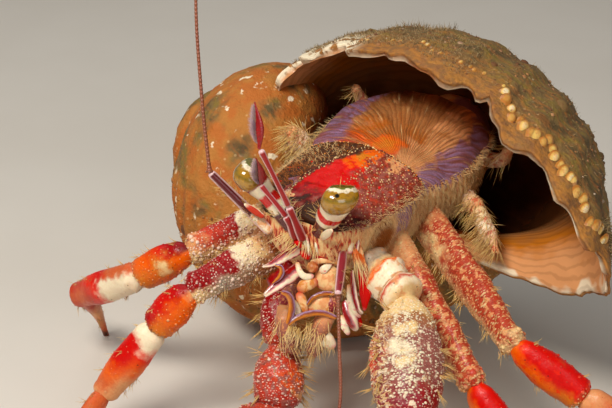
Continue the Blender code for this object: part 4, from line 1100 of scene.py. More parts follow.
def make_antennules():
    red = rod_paint("antennule", "crimson", "wine")
    coat = Form()
    paint = Paint("antennule_blade")
    blade = paint.finish(paint.blotch("crimson", "wine", (0.5, 2.0), (0.3, 0.7), 0.4), 0.25,
                         paint.bump(paint.noise(0.25), 0.03), coat=(0.5,))
    for number, (tag, joints) in enumerate(ANTENNULES.items()):
        form = Form()
        joints = np.array(joints, float)
        stem = curve(joints[:3], np.linspace(0, 1, 60))
        lengths = np.linalg.norm(np.diff(joints[:3], axis=0), axis=1)
        knee = int(60 * lengths[0] / lengths.sum())
        for rows, sizes in zip((stem[:knee + 1:3], stem[knee - 1::3]), ANTENNULE_RADII):
            skin = tube(rows, sizes, 50, 20, TO_CAMERA)
            from_joint = np.minimum(skin.along, 1 - skin.along)[:, None]
            form.add_skin(skin, bead=np.clip(1 - from_joint / 0.07, 0, 1))
        form.piece("antennule_%s_skin" % tag, red, "red_cuticle", "antennule_" + tag)
        share = np.linspace(0, 1, 70)
        base = joints[2] - unit(joints[3] - joints[2]) * BLADE_OVERLAP
        centres = base + (joints[3] - base) * share[:, None] + PICTURE_RIGHT * 0.35 * arch(share)[:, None]
        sizes = profile(share, 0.24, 0.6, 0.1, 0.42) * (1 + 0.05 * np.sin(share * 2 * np.pi * 18))
        sizes = sizes * np.sqrt(np.clip(share / 0.03, 0.02, 1))
        skin = Skin(sweep(centres, sizes, sizes * 0.5, 20, TO_CAMERA), share, tile=(number, 2))
        cover(skin, "antennule_blade_" + tag, blade, "red_cuticle", "antennule_brush_" + tag)
        brush = skin.spots(900, lambda u, a: (u > 0.12) * (u < 0.93) * (np.cos(a) < -0.6))
        ways = brush["out"] + brush["way"] * 0.9 + stray(brush, 0.12)
        bristles(coat, brush, ways, 1.3 * arch(brush["along"]) ** 0.6, 0.035, tile=skin.tile)
    coat.piece("antennule_setae", hair("setae", "mauve", "lilac"), "red_cuticle")


def flagellum_paint():
    paint = Paint("flagellum")
    rings = paint.math("SINE", paint.times(paint.value("along"), 2 * math.pi * FLAGELLUM_RINGS))
    colour = paint.over("sienna", "brown", rings, 0.2, 0.95, 0.6)
    colour = paint.blotch(colour, "rust", (3.0, 3.0), (0.45, 0.7), 0.4)
    return paint.finish(colour, 0.4, paint.bump(rings, 0.02), coat=(0.2,))


def make_antennae():
    ringed = flagellum_paint()
    coat = Form()
    for number, (tag, points) in enumerate(ANTENNAE.items()):
        points = np.array(points, float)
        widths, pale, top, under = ANTENNA_BASES[tag]
        skin = tube((points[0], (points[0] + points[1]) / 2, points[1]), widths, 60, 28, TO_CAMERA,
                    tile=(number, 2))
        name = "antenna_base_" + tag
        cover(skin, name + "_skin", rod_paint(name, top, under, pale), "red_cuticle", name,
              bead=np.clip((skin.along[:, None] - 0.95) / 0.03, 0, 1))
        few = tufts(skin, 22, 4, lambda u, a: (u > 0.2) * (u < 0.95))
        grow(coat, skin, few, (0.6, 1.6), 0.04, 1, 0.8, 0.4)
        share = np.linspace(0, 1, 720)
        sizes = FLAGELLUM[0] + (FLAGELLUM[1] - FLAGELLUM[0]) * share
        sizes = sizes * (1 + 0.06 * np.sin(2 * np.pi * FLAGELLUM_RINGS * share))
        sizes = sizes * (1 + 1.2 * np.exp(-share / 0.006))
        up = np.array([0, -1.0, 0]) if tag == "r" else np.array([1.0, 0, 0])
        form = Form()
        form.add_grid(sweep(curve(points[1:], share), sizes, sizes, 12, up), along=share[:, None])
        form.piece("flagellum_" + tag, ringed, "flagellum", "flagellum1_" + tag, "flagellum2_" + tag)
    coat.piece("antenna_bristles", hair("antenna_hair", "tan", "straw"), "pale_cuticle")


# Mouthparts

MAXILLIPEDS = {
    "l": ((3.4, 4.0, -8.6), (5.4, -1.6, -11.6), (4.4, -3.4, -15.8), (2.6, -1.6, -20.2)),
    "r": ((-2.2, 4.0, -9.0), (-1.4, -2.4, -12.4), (-0.4, -4.2, -16.4), (0.4, -2.2, -20.4)),
}
MAXILLIPED_UPPER = ((1.5, 1.6), (1.5, 1.7), (1.2, 1.3))
MAXILLIPED_LOWER = (1.25, 1.45, 1.1, 1.4, 0.6)
# Blades, plates and strands round the mouth by look, from root to tip as the picture shows them: the place of
# each point, half widths in mm, and how thick they are beside their width
BLADES = {
    "blade": (
        (((302, 245, -1.5), (287, 255, 0.2), (274, 263, 0.9), (262, 267, 1.3)), (1.1, 0.95, 0.6, 0.12), 0.4),
        (((301, 267, -1.8), (286, 279, 0.2), (274, 288, 0.8), (264, 296, 1.1)), (1.0, 1.0, 0.8, 0.3), 0.4),
        (((353, 232, 0.9), (357, 241, 1.2), (356, 254, 0.8)), (0.25, 0.4, 0.3), 0.6),
        (((352, 270, -0.4), (354, 290, -0.1), (358, 308, 0.0), (363, 314, -0.2)),
         (0.25, 0.42, 0.42, 0.25), 0.6),
        (((345, 300, -0.9), (350, 316, -0.5), (357, 331, -0.6)), (0.5, 0.85, 0.9, 0.4), 0.5),
    ),
    "arc": (
        (((275, 265, 1.6), (280.5, 267, 1.6), (282, 272, 1.5), (279, 278, 1.4), (272, 284, 1.4)),
         (0.2, 0.34, 0.38, 0.3, 0.1), 0.8),
        (((281, 292, 1.2), (288, 295, 1.0), (291.5, 302, 0.7), (291.5, 311, 0.5), (287.5, 325, 0.4)),
         (0.3, 0.5, 0.52, 0.5, 0.3), 0.8),
        (((287.5, 325, 0.4), (297, 318, 0.2), (308, 314, 0.0), (322, 313, -0.2), (337, 318, -0.4)),
         (0.3, 0.42, 0.45, 0.42, 0.3), 0.8),
        (((307, 305, -0.6), (313, 297.5, -0.5), (323, 293.5, -0.5), (337, 294, -0.6)),
         (0.2, 0.3, 0.32, 0.25), 0.9),
    ),
    "gold": (
        (((307, 311, -1.6), (320, 304, -1.3), (337, 305, -1.4)), (0.7, 1.3, 1.2, 0.8), 0.4),
        (((315, 284, -1.7), (327, 279, -1.3), (342, 276, -1.5)), (1.0, 1.9, 1.9, 1.4), 0.4),
        (((310, 263, -0.6), (325, 260, -0.2), (345, 262, -0.6)), (0.4, 0.5, 0.4), 0.6),
    ),
    "palp": (
        (((298, 291, -1.5), (306, 285, -0.9), (318, 281, -1.0)), (0.6, 0.95, 0.9, 0.5), 0.6),
        (((298, 292, -1.4), (303, 303, -1.0), (306, 314, -1.0)), (0.5, 0.75, 0.6, 0.3), 0.6),
        (((320, 244, 0.3), (326, 243, 0.9), (338, 242, 0.6)), (0.2, 0.32, 0.2), 0.6),
        (((311, 236, 1.5), (312, 244, 1.1), (314, 254, 0.3)), (0.14, 0.24, 0.12), 0.9),
        (((358, 243, 0.4), (361, 252, 0.6), (361, 264, 0.2)), (0.25, 0.35, 0.3), 0.6),
    ),
    "white": (
        (((293, 300, -1.6), (297, 309, -1.2), (300, 318, -1.0)), (0.3, 0.5, 0.5, 0.3), 0.6),
        (((297, 262, -0.8), (299.5, 271, -0.5), (305, 276.5, -0.4), (314, 276, -0.6)),
         (0.3, 0.42, 0.5, 0.35), 0.6),
        (((319.5, 273, -0.8), (324.5, 269, -0.5), (331.5, 262.5, -0.6)), (0.34, 0.62, 0.5, 0.3), 0.35),
        (((320, 249, 0.3), (332, 247.5, 0.9), (345, 248.5, 0.4)), (0.4, 0.62, 0.4), 0.5),
        (((300, 232, 1.6), (304, 240, 1.2), (306, 250, 0.4)), (0.14, 0.2, 0.12), 0.9),
        (((306, 234, 1.6), (308, 244, 1.1), (309, 256, 0.2)), (0.14, 0.22, 0.12), 0.9),
        (((316, 238, 1.4), (316, 246, 1.1), (318, 254, 0.3)), (0.14, 0.22, 0.12), 0.9),
        (((345, 235, 1.2), (350, 243, 1.6), (350, 254, 1.2)), (0.3, 0.5, 0.35), 0.5),
        (((349, 284, -0.6), (350, 300, -0.3), (355, 313, -0.2), (361, 317, -0.4)), (0.3, 0.4, 0.4, 0.2), 0.6),
        (((342, 315, -0.9), (344, 325, -0.6), (349, 335, -0.8)), (0.4, 0.6, 0.3), 0.5),
        (((315, 327, -2.6), (325, 338, -2.4), (335, 348, -2.8)), (0.7, 1.15, 1.05, 0.5), 0.6),
    ),
    "knob": (
        (((308, 267, -1.2), (312, 267, -0.3), (317, 267, -1.2)), (0.6, 0.85, 0.6), 0.8),
    ),
    "bright": (
        (((315, 257, -0.3), (328, 255, 0.2), (341, 257, -0.2)), (0.25, 0.4, 0.3), 0.6),
        (((301, 249, -0.9), (306, 254, -0.3), (310, 259, -0.6)), (0.5, 0.75, 0.5), 0.6),
        (((294, 239, 0.0), (299, 243, 0.6), (304, 247, 0.2)), (0.35, 0.55, 0.35), 0.6),
        (((360, 256, -0.6), (365.5, 280, 0.2), (364.5, 311, -0.4)), (0.35, 0.95, 0.95, 0.2), 0.35),
        (((351, 311, -1.2), (357, 320, -1.0), (361, 327, -1.2)), (0.4, 0.7, 0.4), 0.4),
        (((315, 320, -2.2), (318, 323, -1.8), (320, 327, -2.2)), (0.4, 0.6, 0.4), 0.8),
    ),
}
# The picture's place of the tuft that is orange
ORANGE_TUFT = (359, 252, 0)
# Tufts of separate bristles: where they root, which way they point in the picture, spread, how many, length
TUFTS = (
    (((289, 326, 0.2), (303, 334, -1.5)), (-0.35, -1.0), 0.45, 42, (1.6, 3.2)),
    (((308, 324, -1.6), (322, 330, -1.8)), (-0.1, -1.0), 0.5, 46, (3.0, 5.6)),
    (((326, 336, -2.2), (333, 344, -2.6)), (0.1, -1.0), 0.4, 18, (1.5, 3.0)),
    (((352, 246, 1.3), (362, 258, 0.8)), (0.25, -1.0), 0.24, 38, (2.8, 6.6)),
    (((300, 240, 0.8), (316, 250, 0.6)), (0.0, -1.0), 0.5, 34, (1.0, 2.6)),
    (((284, 232, 1.2), (296, 248, 0.8)), (-0.8, -0.7), 0.4, 30, (1.5, 3.6)),
    (((286, 196, 3.0), (300, 222, 2.6)), (0.4, 0.6), 0.9, 26, (0.8, 1.8)),
)
MOUTH_LOOKS = {
    "bright": dict(top="0 crimson, 0.3 red, 0.9 red, 1 pink"),
    "palp": dict(top="0 coral, 0.3 peach, 0.6 cream, 1 coral", mottle=("amber", 0.4, 0.8)),
    "gold": dict(top="0 coral, 0.25 peach, 0.6 peach, 1 amber", mottle=("cream", 0.5, 1.0), rough=0.2),
    "knob": dict(top="0 brown, 0.4 tan, 0.6 salmon, 1 tan", mottle=("peach", 0.3, 0.9), rough=0.14),
    "white": dict(top="0 peach, 0.3 ivory, 0.8 ivory, 1 pink", mottle=("pink", 0.2, 0.7), glow=0.2),
}
# Colours across the striped parts, and how pale their tips are
MOUTH_STRIPES = {
    "blade": ("0 wine, 0.08 pink, 0.18 ivory, 0.34 ivory, 0.44 pink, 0.62 mauve, 0.7 crimson, 0.92 crimson, "
              "1 pink", 0.7),
    "arc": ("0 lilac, 0.16 lilac, 0.24 mauve, 0.36 rust, 0.56 honey, 0.8 amber, 1 honey", 0.0),
}


def mouth_paints():
    looks = {look: cuticle("mouth_" + look, pits=0, **values) for look, values in MOUTH_LOOKS.items()}
    for look, (stops, pale) in MOUTH_STRIPES.items():
        paint = Paint("mouth_" + look)
        share = paint.add(paint.times(paint.value("side"), 0.5), paint.drift(0.9, 3.0, 0.44, 0.56))
        tip = paint.between(paint.value("along"), 0.8, 1.0, 0, pale)
        colour = paint.mix(tip, paint.ramp(share, stops), "ivory")
        dents = paint.bump(paint.noise(0.3), 0.03)
        looks[look] = paint.finish(colour, 0.24, dents, coat=(0.4, 0.08), glow=(0.15, 0.5))
    return looks


def make_tufts(coat):
    for (first, last), (right, up), spread, count, lengths in TUFTS:
        share = draw.random((count, 1))
        roots = seen(*first) * (1 - share) + seen(*last) * share
        roots = roots + draw.normal(0, 0.2, (count, 3))
        spots = {"root": roots, "out": np.tile(TO_CAMERA, (count, 1)), "along": share[:, 0],
                 "angle": draw.uniform(0, 2 * np.pi, count)}
        ways = PICTURE_RIGHT * right + PICTURE_UP * up + stray(spots, spread)
        bend = stray(spots, 0.12)
        bristles(coat, spots, ways, draw.uniform(*lengths, count), 0.065, bend, tile=(4, 5))


def make_mouth():
    paints = mouth_paints()
    for look in paints:
        form = Form()
        for points, radii, flat in BLADES[look]:
            form.add_skin(tube([seen(*point) for point in points], radii, 44, 22, TO_CAMERA, flat))
        slot = "red_cuticle" if look in ("blade", "bright") else "pale_cuticle"
        form.piece("mouth_" + look, paints[look], slot, *(["mouth"] if look == "gold" else []))
    coat = Form()
    jaw = cuticle("maxilliped", "0 peach, 0.4 dusk, 0.8 dusk, 1 garnet", mottle=("peach", 0.4, 0.35), pits=0)
    down = np.array([0.0, -0.1, -0.5])
    for number, (tag, joints) in enumerate(MAXILLIPEDS.items()):
        upper = limb(*joints[:2], MAXILLIPED_UPPER, tile=(2 * number, 5))
        lower = tube(joints[1:], MAXILLIPED_LOWER, 70, 32, tile=(2 * number + 1, 5))
        for skin, part, slot in ((upper, "upper", "red_cuticle"), (lower, "lower", "pale_cuticle")):
            uneven(skin, 0.12, 1.2)
            name = "maxilliped_%s_%s" % (tag, part)
            cover(skin, name + "_skin", jaw, slot, name)
        grow(coat, lower, lower.spots(56, lambda u, a: u > 0.15), (1.0, 3.4), 0.065, 0.9, 0.9, 0.35, down,
             bend=down * 0.4)
        grow(coat, upper, upper.spots(40, lambda u, a: u > 0.3), (0.6, 2.0), 0.06, 1, 1, 0.4)
    make_tufts(coat)
    patches = ((seen(*ORANGE_TUFT), 2.6, "orange"),)
    coat.piece("mouth_bristles", hair("mouth_hair", "straw", "cream", patches=patches), "pale_cuticle")


# The body

# Sections of the body: place along it, half width, height of its top and of its bottom
BODY_SECTIONS = (
    (-1.6, 4.6, 1.6, -4.5), (0.5, 7.2, 2.9, -7.5), (4, 8.9, 3.8, -9.5), (9, 10.0, 4.7, -10.8),
    (14, 10.4, 5.2, -11.2), (17.5, 10.5, 5.3, -11.4), (21, 11.8, 5.5, -11.5), (26, 12.9, 6.0, -11.4),
    (32, 12.8, 6.8, -11.0), (37, 11.4, 6.9, -10.0), (41, 8.6, 5.4, -8.2),
)
BODY_FRONT = BODY_SECTIONS[0][0]
BODY_LENGTH = BODY_SECTIONS[-1][0] - BODY_FRONT
ABDOMEN_PATH = ((1, 41.0, -1.5), (0.5, 47.5, -5.5), (-2, 50.5, -14), (-7, 46, -23), (-13, 36, -28.5))
ABDOMEN_RADII = (6.6, 6.8, 6.0, 4.8, 2.6)


def section_at(y):
    """Half width, top and bottom of the body at given places along it."""
    table = curve(BODY_SECTIONS, np.linspace(0, 1, 400))
    return [np.interp(y, table[:, 0], sizes) for sizes in table.T[1:]]


def body_skin():
    even = np.linspace(0, 1, 260)
    y = BODY_FRONT + BODY_LENGTH * (0.8 * even + 0.2 * ease(even))
    half, top, bottom = section_at(y)
    closing = rounded(y - BODY_FRONT, 1.2, 0.99) * rounded(BODY_FRONT + BODY_LENGTH - y, 3.0, 0.99)
    angle = ring(240)
    height = np.where(np.sin(angle) > 0, top[:, None], -bottom[:, None]) * np.sin(angle)
    across = half[:, None] * np.cos(angle) * closing[:, None]
    points = np.stack([across, np.broadcast_to(y[:, None], height.shape), height * closing[:, None]], -1)
    return Skin(points, (y - BODY_FRONT) / BODY_LENGTH, angle, (0, 2))


# The cream oval on the left flank: share along the body, and sine of its angle
OVAL_ALONG = 0.2
OVAL_TOP = -0.36
# Orange patches on the soft back: share along the body, side, size and colour
BACK_PATCHES = ((0.5, 0.2, 0.4, "orange"), (0.5, 0.2, 0.24, "amber"), (0.6, -0.1, 0.26, "honey"))
# Darker patches of the body's hair: middle, size in mm and colour
HAIR_PATCHES = (((9.4, 6.9, -3.4), 3.2, "honey"), ((-6.4, 6.0, 3.4), 5.5, "honey"))
# Where the fine folds of the soft back meet, under the shield's left rear corner
FOLDS_MEET = np.array([7.5, 15.8])


def fan(points):
    """Each point's angle round the place where the folds meet, 0 to 1 over half a turn, and its distance."""
    away = points[..., :2] - FOLDS_MEET
    return np.arctan2(away[..., 1], -away[..., 0]) / np.pi, np.linalg.norm(away, axis=-1)


def wrinkle(skin):
    """Fine folds that fan out over the soft carapace, and loose, low lumps."""
    u = skin.along[:, None]
    a = skin.angle[None, :]
    soft = ease((u - 0.43) / 0.08) * ease((np.sin(a) + 0.3) / 0.4)
    wander = cloud(skin.points, 4.0, 2)
    turn, far = fan(skin.points)
    lines = np.sin(turn * 150 + wander * 4.0) + 0.8 * np.sin(turn * 61 + wander * 3.0)
    flank = ease((-0.05 - np.sin(a)) / 0.2) * ease((np.sin(a) + 0.95) / 0.3)
    pleats = np.sin(u * 260 + 3 * a) * flank * 0.05
    broad = np.sin(turn * 24 + wander * 1.5 + 0.1 * far) * np.clip((far - 3) / 6, 0, 1)
    folds = soft * (lines * 0.045 * np.clip(far / 6, 0, 1) + broad * 0.22)
    skin.push(folds + 0.3 * cloud(skin.points, 6.0, 2) + pleats)


def skin_paint():
    """Soft carapace, flanks and face: fibrous orange brown, tan and lilac above, cream and pink beside, and
    at the face dark wine and rust that are partly painted shade between the mouthparts.
    """
    paint = Paint("soft_skin")
    along, top, side, turn, far = (paint.value(n) for n in ("along", "top", "side", "tint", "bead"))
    wander = paint.noise(3.0, 3.0)
    drift = paint.between(wander, 0.25, 0.75, -0.2, 0.2)
    streams = paint.point(paint.times(turn, 34.0), paint.times(far, 0.05))
    fibres = paint.noise_at(streams, 2.4, 5.0)
    # The wine at the front of this ramp is painted shade for the gaps behind the mouthparts.
    upper = paint.ramp(paint.add(along, paint.times(drift, 0.25)),
                       "0 wine, 0.08 wine, 0.44 coral, 0.5 orange, 0.58 honey, 0.7 tan, 0.85 brown, 1 umber")
    upper = paint.over(upper, "tan", paint.noise_at(streams, 0.5, 3.0), 0.42, 0.62, 0.7)
    pale = paint.over("tan", "peach", fibres, 0.35, 0.6)
    upper = paint.over(upper, pale, paint.add(side, drift), 0.4, 0.62)
    purple = paint.over("mauve", "violet", fibres, 0.4, 0.6)
    band = paint.add(side, paint.times(drift, 0.35))
    upper = paint.over(upper, purple, band, 0.76, 0.84, 0.9)
    upper = paint.over(upper, purple, band, -0.38, -0.52, 0.85)
    waves = paint.math("SINE", paint.add(paint.times(turn, 400.0), paint.times(paint.noise(4.0), 12.0)))
    waves = paint.times(waves, paint.between(far, 2.0, 5.0))
    upper = paint.over(upper, "brown", waves, 0.2, 0.95, 0.42)
    upper = paint.over(upper, "brown", fibres, 0.54, 0.68, 0.6)
    upper = paint.over(upper, "cream", fibres, 0.42, 0.3, 0.5)
    for place_along, place_side, size, shade in BACK_PATCHES:
        away = paint.away(paint.grid(6.0, 0.5, 1.0), (6.0 * place_along, 0.48, place_side))
        away = paint.add(away, paint.times(drift, 0.8))
        upper = paint.over(upper, shade, away, size, size * 0.3, 0.85)
    flank = paint.blotch("cream", "peach", (1.2, 4.0), (0.35, 0.7))
    grey = paint.times(paint.between(along, 0.2, 0.27), paint.between(along, 0.42, 0.34))
    flank = paint.mix(paint.times(grey, paint.between(top, -0.55, -0.3)), flank, "lilac")
    level = paint.between(paint.add(top, paint.times(drift, 0.5)), -0.12, 0.12)
    colour = paint.mix(level, flank, upper)
    away = paint.away(paint.grid(6.0, 1.0, 0.4), (6.0 * OVAL_ALONG, OVAL_TOP, 0.37))
    colour = paint.over(colour, "cream", away, 0.62, 0.4)
    rusty = paint.blotch("amber", "rust", (0.5, 3.0), (0.4, 0.6))
    colour = paint.over(colour, rusty, away, 0.44, 0.3, 0.85)
    # Pale cream and peach streaks on the face with rust between them; the rust is partly painted shade in the
    # gaps between the mouthparts.
    upright = paint.make("ShaderNodeMapping", {"Vector": paint.where, "Scale": (2500.0, 2500.0, 500.0)})
    face = paint.noise_at(upright.outputs[0], 1.0, 4.0)
    face = paint.ramp(face, "0.3 rust, 0.43 coral, 0.5 peach, 0.62 cream")
    colour = paint.over(colour, face, along, 0.13, 0.07)
    colour = paint.mix(paint.drift(0.3, 3.0, 0, 0.3, (0.35, 0.7)), colour, "brown", "SOFT_LIGHT")
    folds = paint.times(paint.times(waves, -0.35), level)
    pits = paint.bump(paint.add(folds, paint.add(paint.noise(0.25, 3.0), fibres)), 0.09)
    rough = paint.between(wander, 0.3, 0.7, 0.36, 0.52)
    return paint.finish(colour, rough, pits, glow=(0.15, 1.0), coat=(0.12, 0.2), shine=0.3)


# Patches on the shield: share along it, side, size and colour
SHIELD_PATCHES = (
    (0.3, -0.16, 0.46, "crimson"), (0.44, -0.04, 0.56, "red"), (0.6, 0.04, 0.44, "red"),
    (0.72, 0.12, 0.28, "scarlet"), (0.74, 0.14, 0.22, "orange"), (0.88, 0.26, 0.26, "orange"),
    (0.8, 0.2, 0.1, "amber"), (0.9, 0.62, 0.26, "peach"),
)
# The dark furrow on the shield's right: how far back it starts and how fast it nears the middle
FURROW_START = 0.3
FURROW_SLOPE = 0.85
SHIELD_RIM = 0.6
SHIELD_THICKNESS = 0.5
SHIELD_COLUMNS = 100


def furrow_line(share):
    """How far to the left the dark furrow has come by a share along the shield."""
    return FURROW_SLOPE * (share - FURROW_START)


def shield_skin():
    """The hard front plate: an arched plate closed underneath, with a furrow round its middle."""
    even = np.linspace(0, 1, 150)
    y = BODY_FRONT + 0.2 + (SHIELD_END - BODY_FRONT - 0.2) * even
    half, top, _ = section_at(y)
    first = np.arcsin(np.clip(SHIELD_RIM / top, 0, 0.6))[:, None]
    y = y[:, None]
    swing = np.linspace(0, 1, SHIELD_COLUMNS)
    angle = first + (np.pi - 2 * first) * swing
    x = half[:, None] * np.cos(angle)
    outer = np.stack([x, np.broadcast_to(y, angle.shape), top[:, None] * np.sin(angle)], -1)
    back = SHIELD_END - y
    lift = 0.45 * rounded(np.minimum(swing, 1 - swing)[None] * np.pi * 9, 0.7, 1) * rounded(back, 0.9, 0.99)
    furrow = np.abs(np.abs(x) - (3.4 + 0.22 * (y - 2))) * ease((y - 1) / 4)
    lift = lift - 0.28 * np.exp(-(furrow / 0.5) ** 2) * (y > 1) * ease(back / 3)
    across_line = np.abs(y - 5.0 - 0.02 * x ** 2)
    lift = lift - 0.2 * np.exp(-(across_line / 0.5) ** 2)
    lift = lift + 0.14 * cloud(outer, 2.0, 3)
    out = unit(outer * (1.0, 0, 1.6))
    inner = outer - out * SHIELD_THICKNESS
    return np.concatenate([outer + out * lift[..., None], inner[:, ::-1]], axis=1), x, even


def shield_paint():
    """Red and orange in the middle, dusky red with pale grains on the left, a dark furrow on the right, and
    wine to umber at the front: partly the shield's own dark red, partly painted shade between the eyestalks.
    """
    paint = Paint("shield")
    along, side = paint.value("along"), paint.value("side")
    wander = paint.drift(1.6, 4.0, -0.16, 0.16, (0.25, 0.75))
    colour = paint.mix(paint.drift(0.8, 4.0, 0.2, 1.0), "coral", "russet")
    colour = paint.blotch(colour, "rust", (0.6, 4.0), (0.4, 0.6), 0.8)
    colour = paint.blotch(colour, "dusk", (0.9, 4.0), (0.42, 0.64), 0.75)
    here = paint.point(paint.times(along, 2.0), side)
    for place_along, place_side, size, shade in SHIELD_PATCHES:
        away = paint.add(paint.away(here, (2.0 * place_along, place_side, 0)), wander)
        colour = paint.over(colour, shade, away, size, size * 0.45, 0.95)
    from_start = paint.math("SUBTRACT", along, FURROW_START)
    line = paint.math("SUBTRACT", side, paint.times(from_start, FURROW_SLOPE))
    line = paint.add(line, paint.times(wander, 0.35))
    dusty = paint.blotch("umber", "brown", (0.7, 5.0), (0.4, 0.66))
    dusty = paint.blotch(dusty, "honey", (0.4, 3.0), (0.56, 0.72), 0.7)
    colour = paint.over(colour, dusty, line, -0.38, -0.5)
    dark = paint.times(paint.between(line, -0.5, -0.42), paint.between(line, -0.34, -0.42))
    colour = paint.mix(dark, colour, "umber")
    # Wine and then umber towards the front edge: partly the shield's own dark red, partly painted shade
    # between the eyestalks.
    colour = paint.over(colour, "wine", paint.add(along, wander), 0.26, 0.1)
    colour = paint.over(colour, "umber", paint.add(along, wander), 0.16, 0.04)
    colour = paint.over(colour, "umber", along, 0.955, 0.985)
    colour = paint.over(colour, "honey", paint.cells(0.7), 0.2, 0.1, 0.6)
    colour = paint.over(colour, "cream", paint.value("bead"), 0.2, 0.9, 0.85)
    pits = paint.bump(paint.add(paint.noise(0.3, 3.0), paint.noise(0.9, 3.0)), 0.08)
    rough = paint.drift(0.8, 2.0, 0.36, 0.55)
    return paint.finish(colour, rough, pits, coat=(0.05, 0.12), glow=(0.02, 0.8), shine=0.12)


def make_body():
    skin = body_skin()
    wrinkle(skin)
    form = Form()
    turn, far = fan(skin.points)
    form.add_skin(skin, tint=turn, bead=far)
    tail = tube(ABDOMEN_PATH, ABDOMEN_RADII, 120, 60, np.array([1.0, 0, 0]), 0.9)
    uneven(tail, 0.5, 4.0)
    tail.push(0.15 * np.sin(tail.along * 70)[:, None])
    form.add_skin(tail, along=0.7 + 0.3 * tail.along[:, None])
    form.piece("soft_skin", skin_paint(), "soft_cuticle", "rear_carapace", "thorax", "abdomen")
    points, x, even = shield_skin()
    form = Form()
    form.add_grid(points, along=even[:, None], side=np.concatenate([x, x[:, ::-1]], axis=1) / 10)
    plate = Skin(points[:, :SHIELD_COLUMNS], even, np.linspace(0, np.pi, SHIELD_COLUMNS), (1, 2))
    plate.out = unit(plate.points * (1.0, 0, 1.6))
    left = lambda u, a: (np.cos(a) > 0.3) * (u > 0.1) * (a < 3.0)
    over = lambda u, a: (u > 0.2) * (a > 0.2) * (a < 2.9)
    furrow = lambda u, a: (u > 0.15) * (np.abs(np.cos(a) + 0.43 - furrow_line(u)) < 0.05)
    rear = lambda u, a: (u > 0.96) * (a < 3.0)
    strew(form, plate, 1700, left, 0.36, 0.13, 0.1, sides=5, side=0.9, along=0.5, pale=(0.0, 0.9))
    strew(form, plate, 90, over, 1.0, 0.12, 0.09, bead=0.2, side=0.2)
    strew(form, plate, 150, furrow, 0.3, 0.14, 0.12, side=0.0, along=0.8, pale=(0.4, 1.0))
    strew(form, plate, 90, rear, 0.3, 0.14, 0.12, side=0.2, along=0.8, pale=(0.2, 0.9))
    form.piece("shield_plate", shield_paint(), "red_cuticle", "shield")
    make_body_hair(skin, plate)


def make_body_hair(skin, plate):
    """Dense, short hair in slanting rows on the flanks, and a fringe along the shield's edge."""
    flank = lambda u, a: (u > 0.02) * (np.sin(a) < 0.12) * (np.sin(a) > -0.6) * (u < 0.75)
    rows = lambda u, a: ((u > 0.36) * (u < 0.8) * (np.sin(a) < 0.14) * (np.sin(a) > -0.5)
                         * (np.sin(u * 230 + 4 * np.sin(a)) > 0.3))
    oval = lambda u, a: (np.hypot(6 * (u - OVAL_ALONG), np.sin(a) - OVAL_TOP) < 0.36) * (np.cos(a) > 0)
    ridge = lambda u, a: (u > 0.05) * (np.abs(np.sin(a) - 0.1) < 0.09)
    edge = lambda u, a: ((a < 0.3) + (a > 2.85)) * (u > 0.05) * (a < 3.1)
    right = lambda u, a: (u > 0.1) * (u < 0.9) * (a < 3.0) * (np.cos(a) + 0.47 - furrow_line(u) < 0)
    coat = Form()
    for under, count, where, lengths, radius, out, amount, pull in (
            (skin, 4200, flank, (0.5, 1.2), 0.035, 0.5, 0.3, (0, -0.3, -0.5)),
            (skin, 3600, rows, (1.3, 2.1), 0.06, 0.3, 0.12, (0, 0.25, -0.9)),
            (skin, 1000, oval, (0.5, 1.1), 0.055, 0.6, 0.3, (0, 0, -0.6)),
            (skin, 900, ridge, (0.6, 1.8), 0.05, 1.0, 0.5, (0, -0.5, 0.15)),
            (plate, 700, edge, (0.4, 1.3), 0.04, 1.0, 0.5, (0, -0.6, 0)),
            (plate, 420, right, (0.4, 1.2), 0.045, 1.0, 0.8, (0, 0, 0))):
        grow(coat, under, under.spots(count, where), lengths, radius, out, 0, amount, pull, rings=3)
    coat.piece("body_hair", hair("body_coat", "amber", "cream", patches=HAIR_PATCHES), "pale_cuticle")


# The shell

# The spiral in millimetres: from its axis to the mouth's middle, the mouth's half width and half length,
# from the spire's tip to the mouth's middle, that middle, which way the spire points and which way the mouth
# lies from the axis, and how many times larger each turn makes it across and along
AXIS_TO_MOUTH = 19.5
MOUTH_HALF_WIDTH = 17.0
MOUTH_HALF_LENGTH = 33.0
SPIRE_TO_MOUTH = 55.0
MOUTH_CENTRE = np.array([7.2, 24.0, 2.8])
SPIRE_WAY = unit(np.array([-0.95, 0.2, 0.1]))
LIP_WAY = np.array([0, -0.22, 1.0])
GROWTH_RADIAL = 1.95
GROWTH_AXIAL = 3.0
# The lip's sweep back in turns, how far the shoulder by the spire is drawn in, and the wall's thickness
LIP_SWEEP = 0.045
SHOULDER_DROP = 5.5
SHELL_WALL = 1.8
# Turns in all, turns that are hollow, and turns from the lip that carry ribs
TURNS = 3.0
HOLLOW_TURNS = 0.72
LAST_WHORL = 0.84
RIB_HEIGHT = 0.6
# Notches broken out of the lip: degrees round it, how deep in turns, and width in radians
LIP_BREAKS = ((-59, 0.03, 0.09), (-33, 0.016, 0.05), (-66, 0.02, 0.03), (14, 0.014, 0.05), (21, 0.01, 0.03))
# Beads along the lip: from and to which degrees round it, how many apart, radius in mm, share of them left
LIP_BEADS = ((23, 78, 2.1, 1.15, 1.0), (-28, 23, 2.4, 0.6, 0.75))
# How many turns back from the lip they sit
BEADS_BACK = 0.018
# Patches on the outside: colour, size and detail of their noise, where it sets in, and how strong they are
SHELL_PATCHES = (("brown", (0.8, 5.0), (0.5, 0.7), 0.5), ("ochre", (1.3, 5.0), (0.54, 0.7), 0.55),
                 ("brown", (2.0, 4.0), (0.56, 0.7), 0.3))
# Tufts of weed: turns back from the lip, degrees round it, size, how many and how long
WEED_TUFTS = ((0.1, -22, 0.22, 700, 1.6), (0.04, 88, 0.25, 700, 1.4), (0.16, 5, 0.2, 400, 1.2))
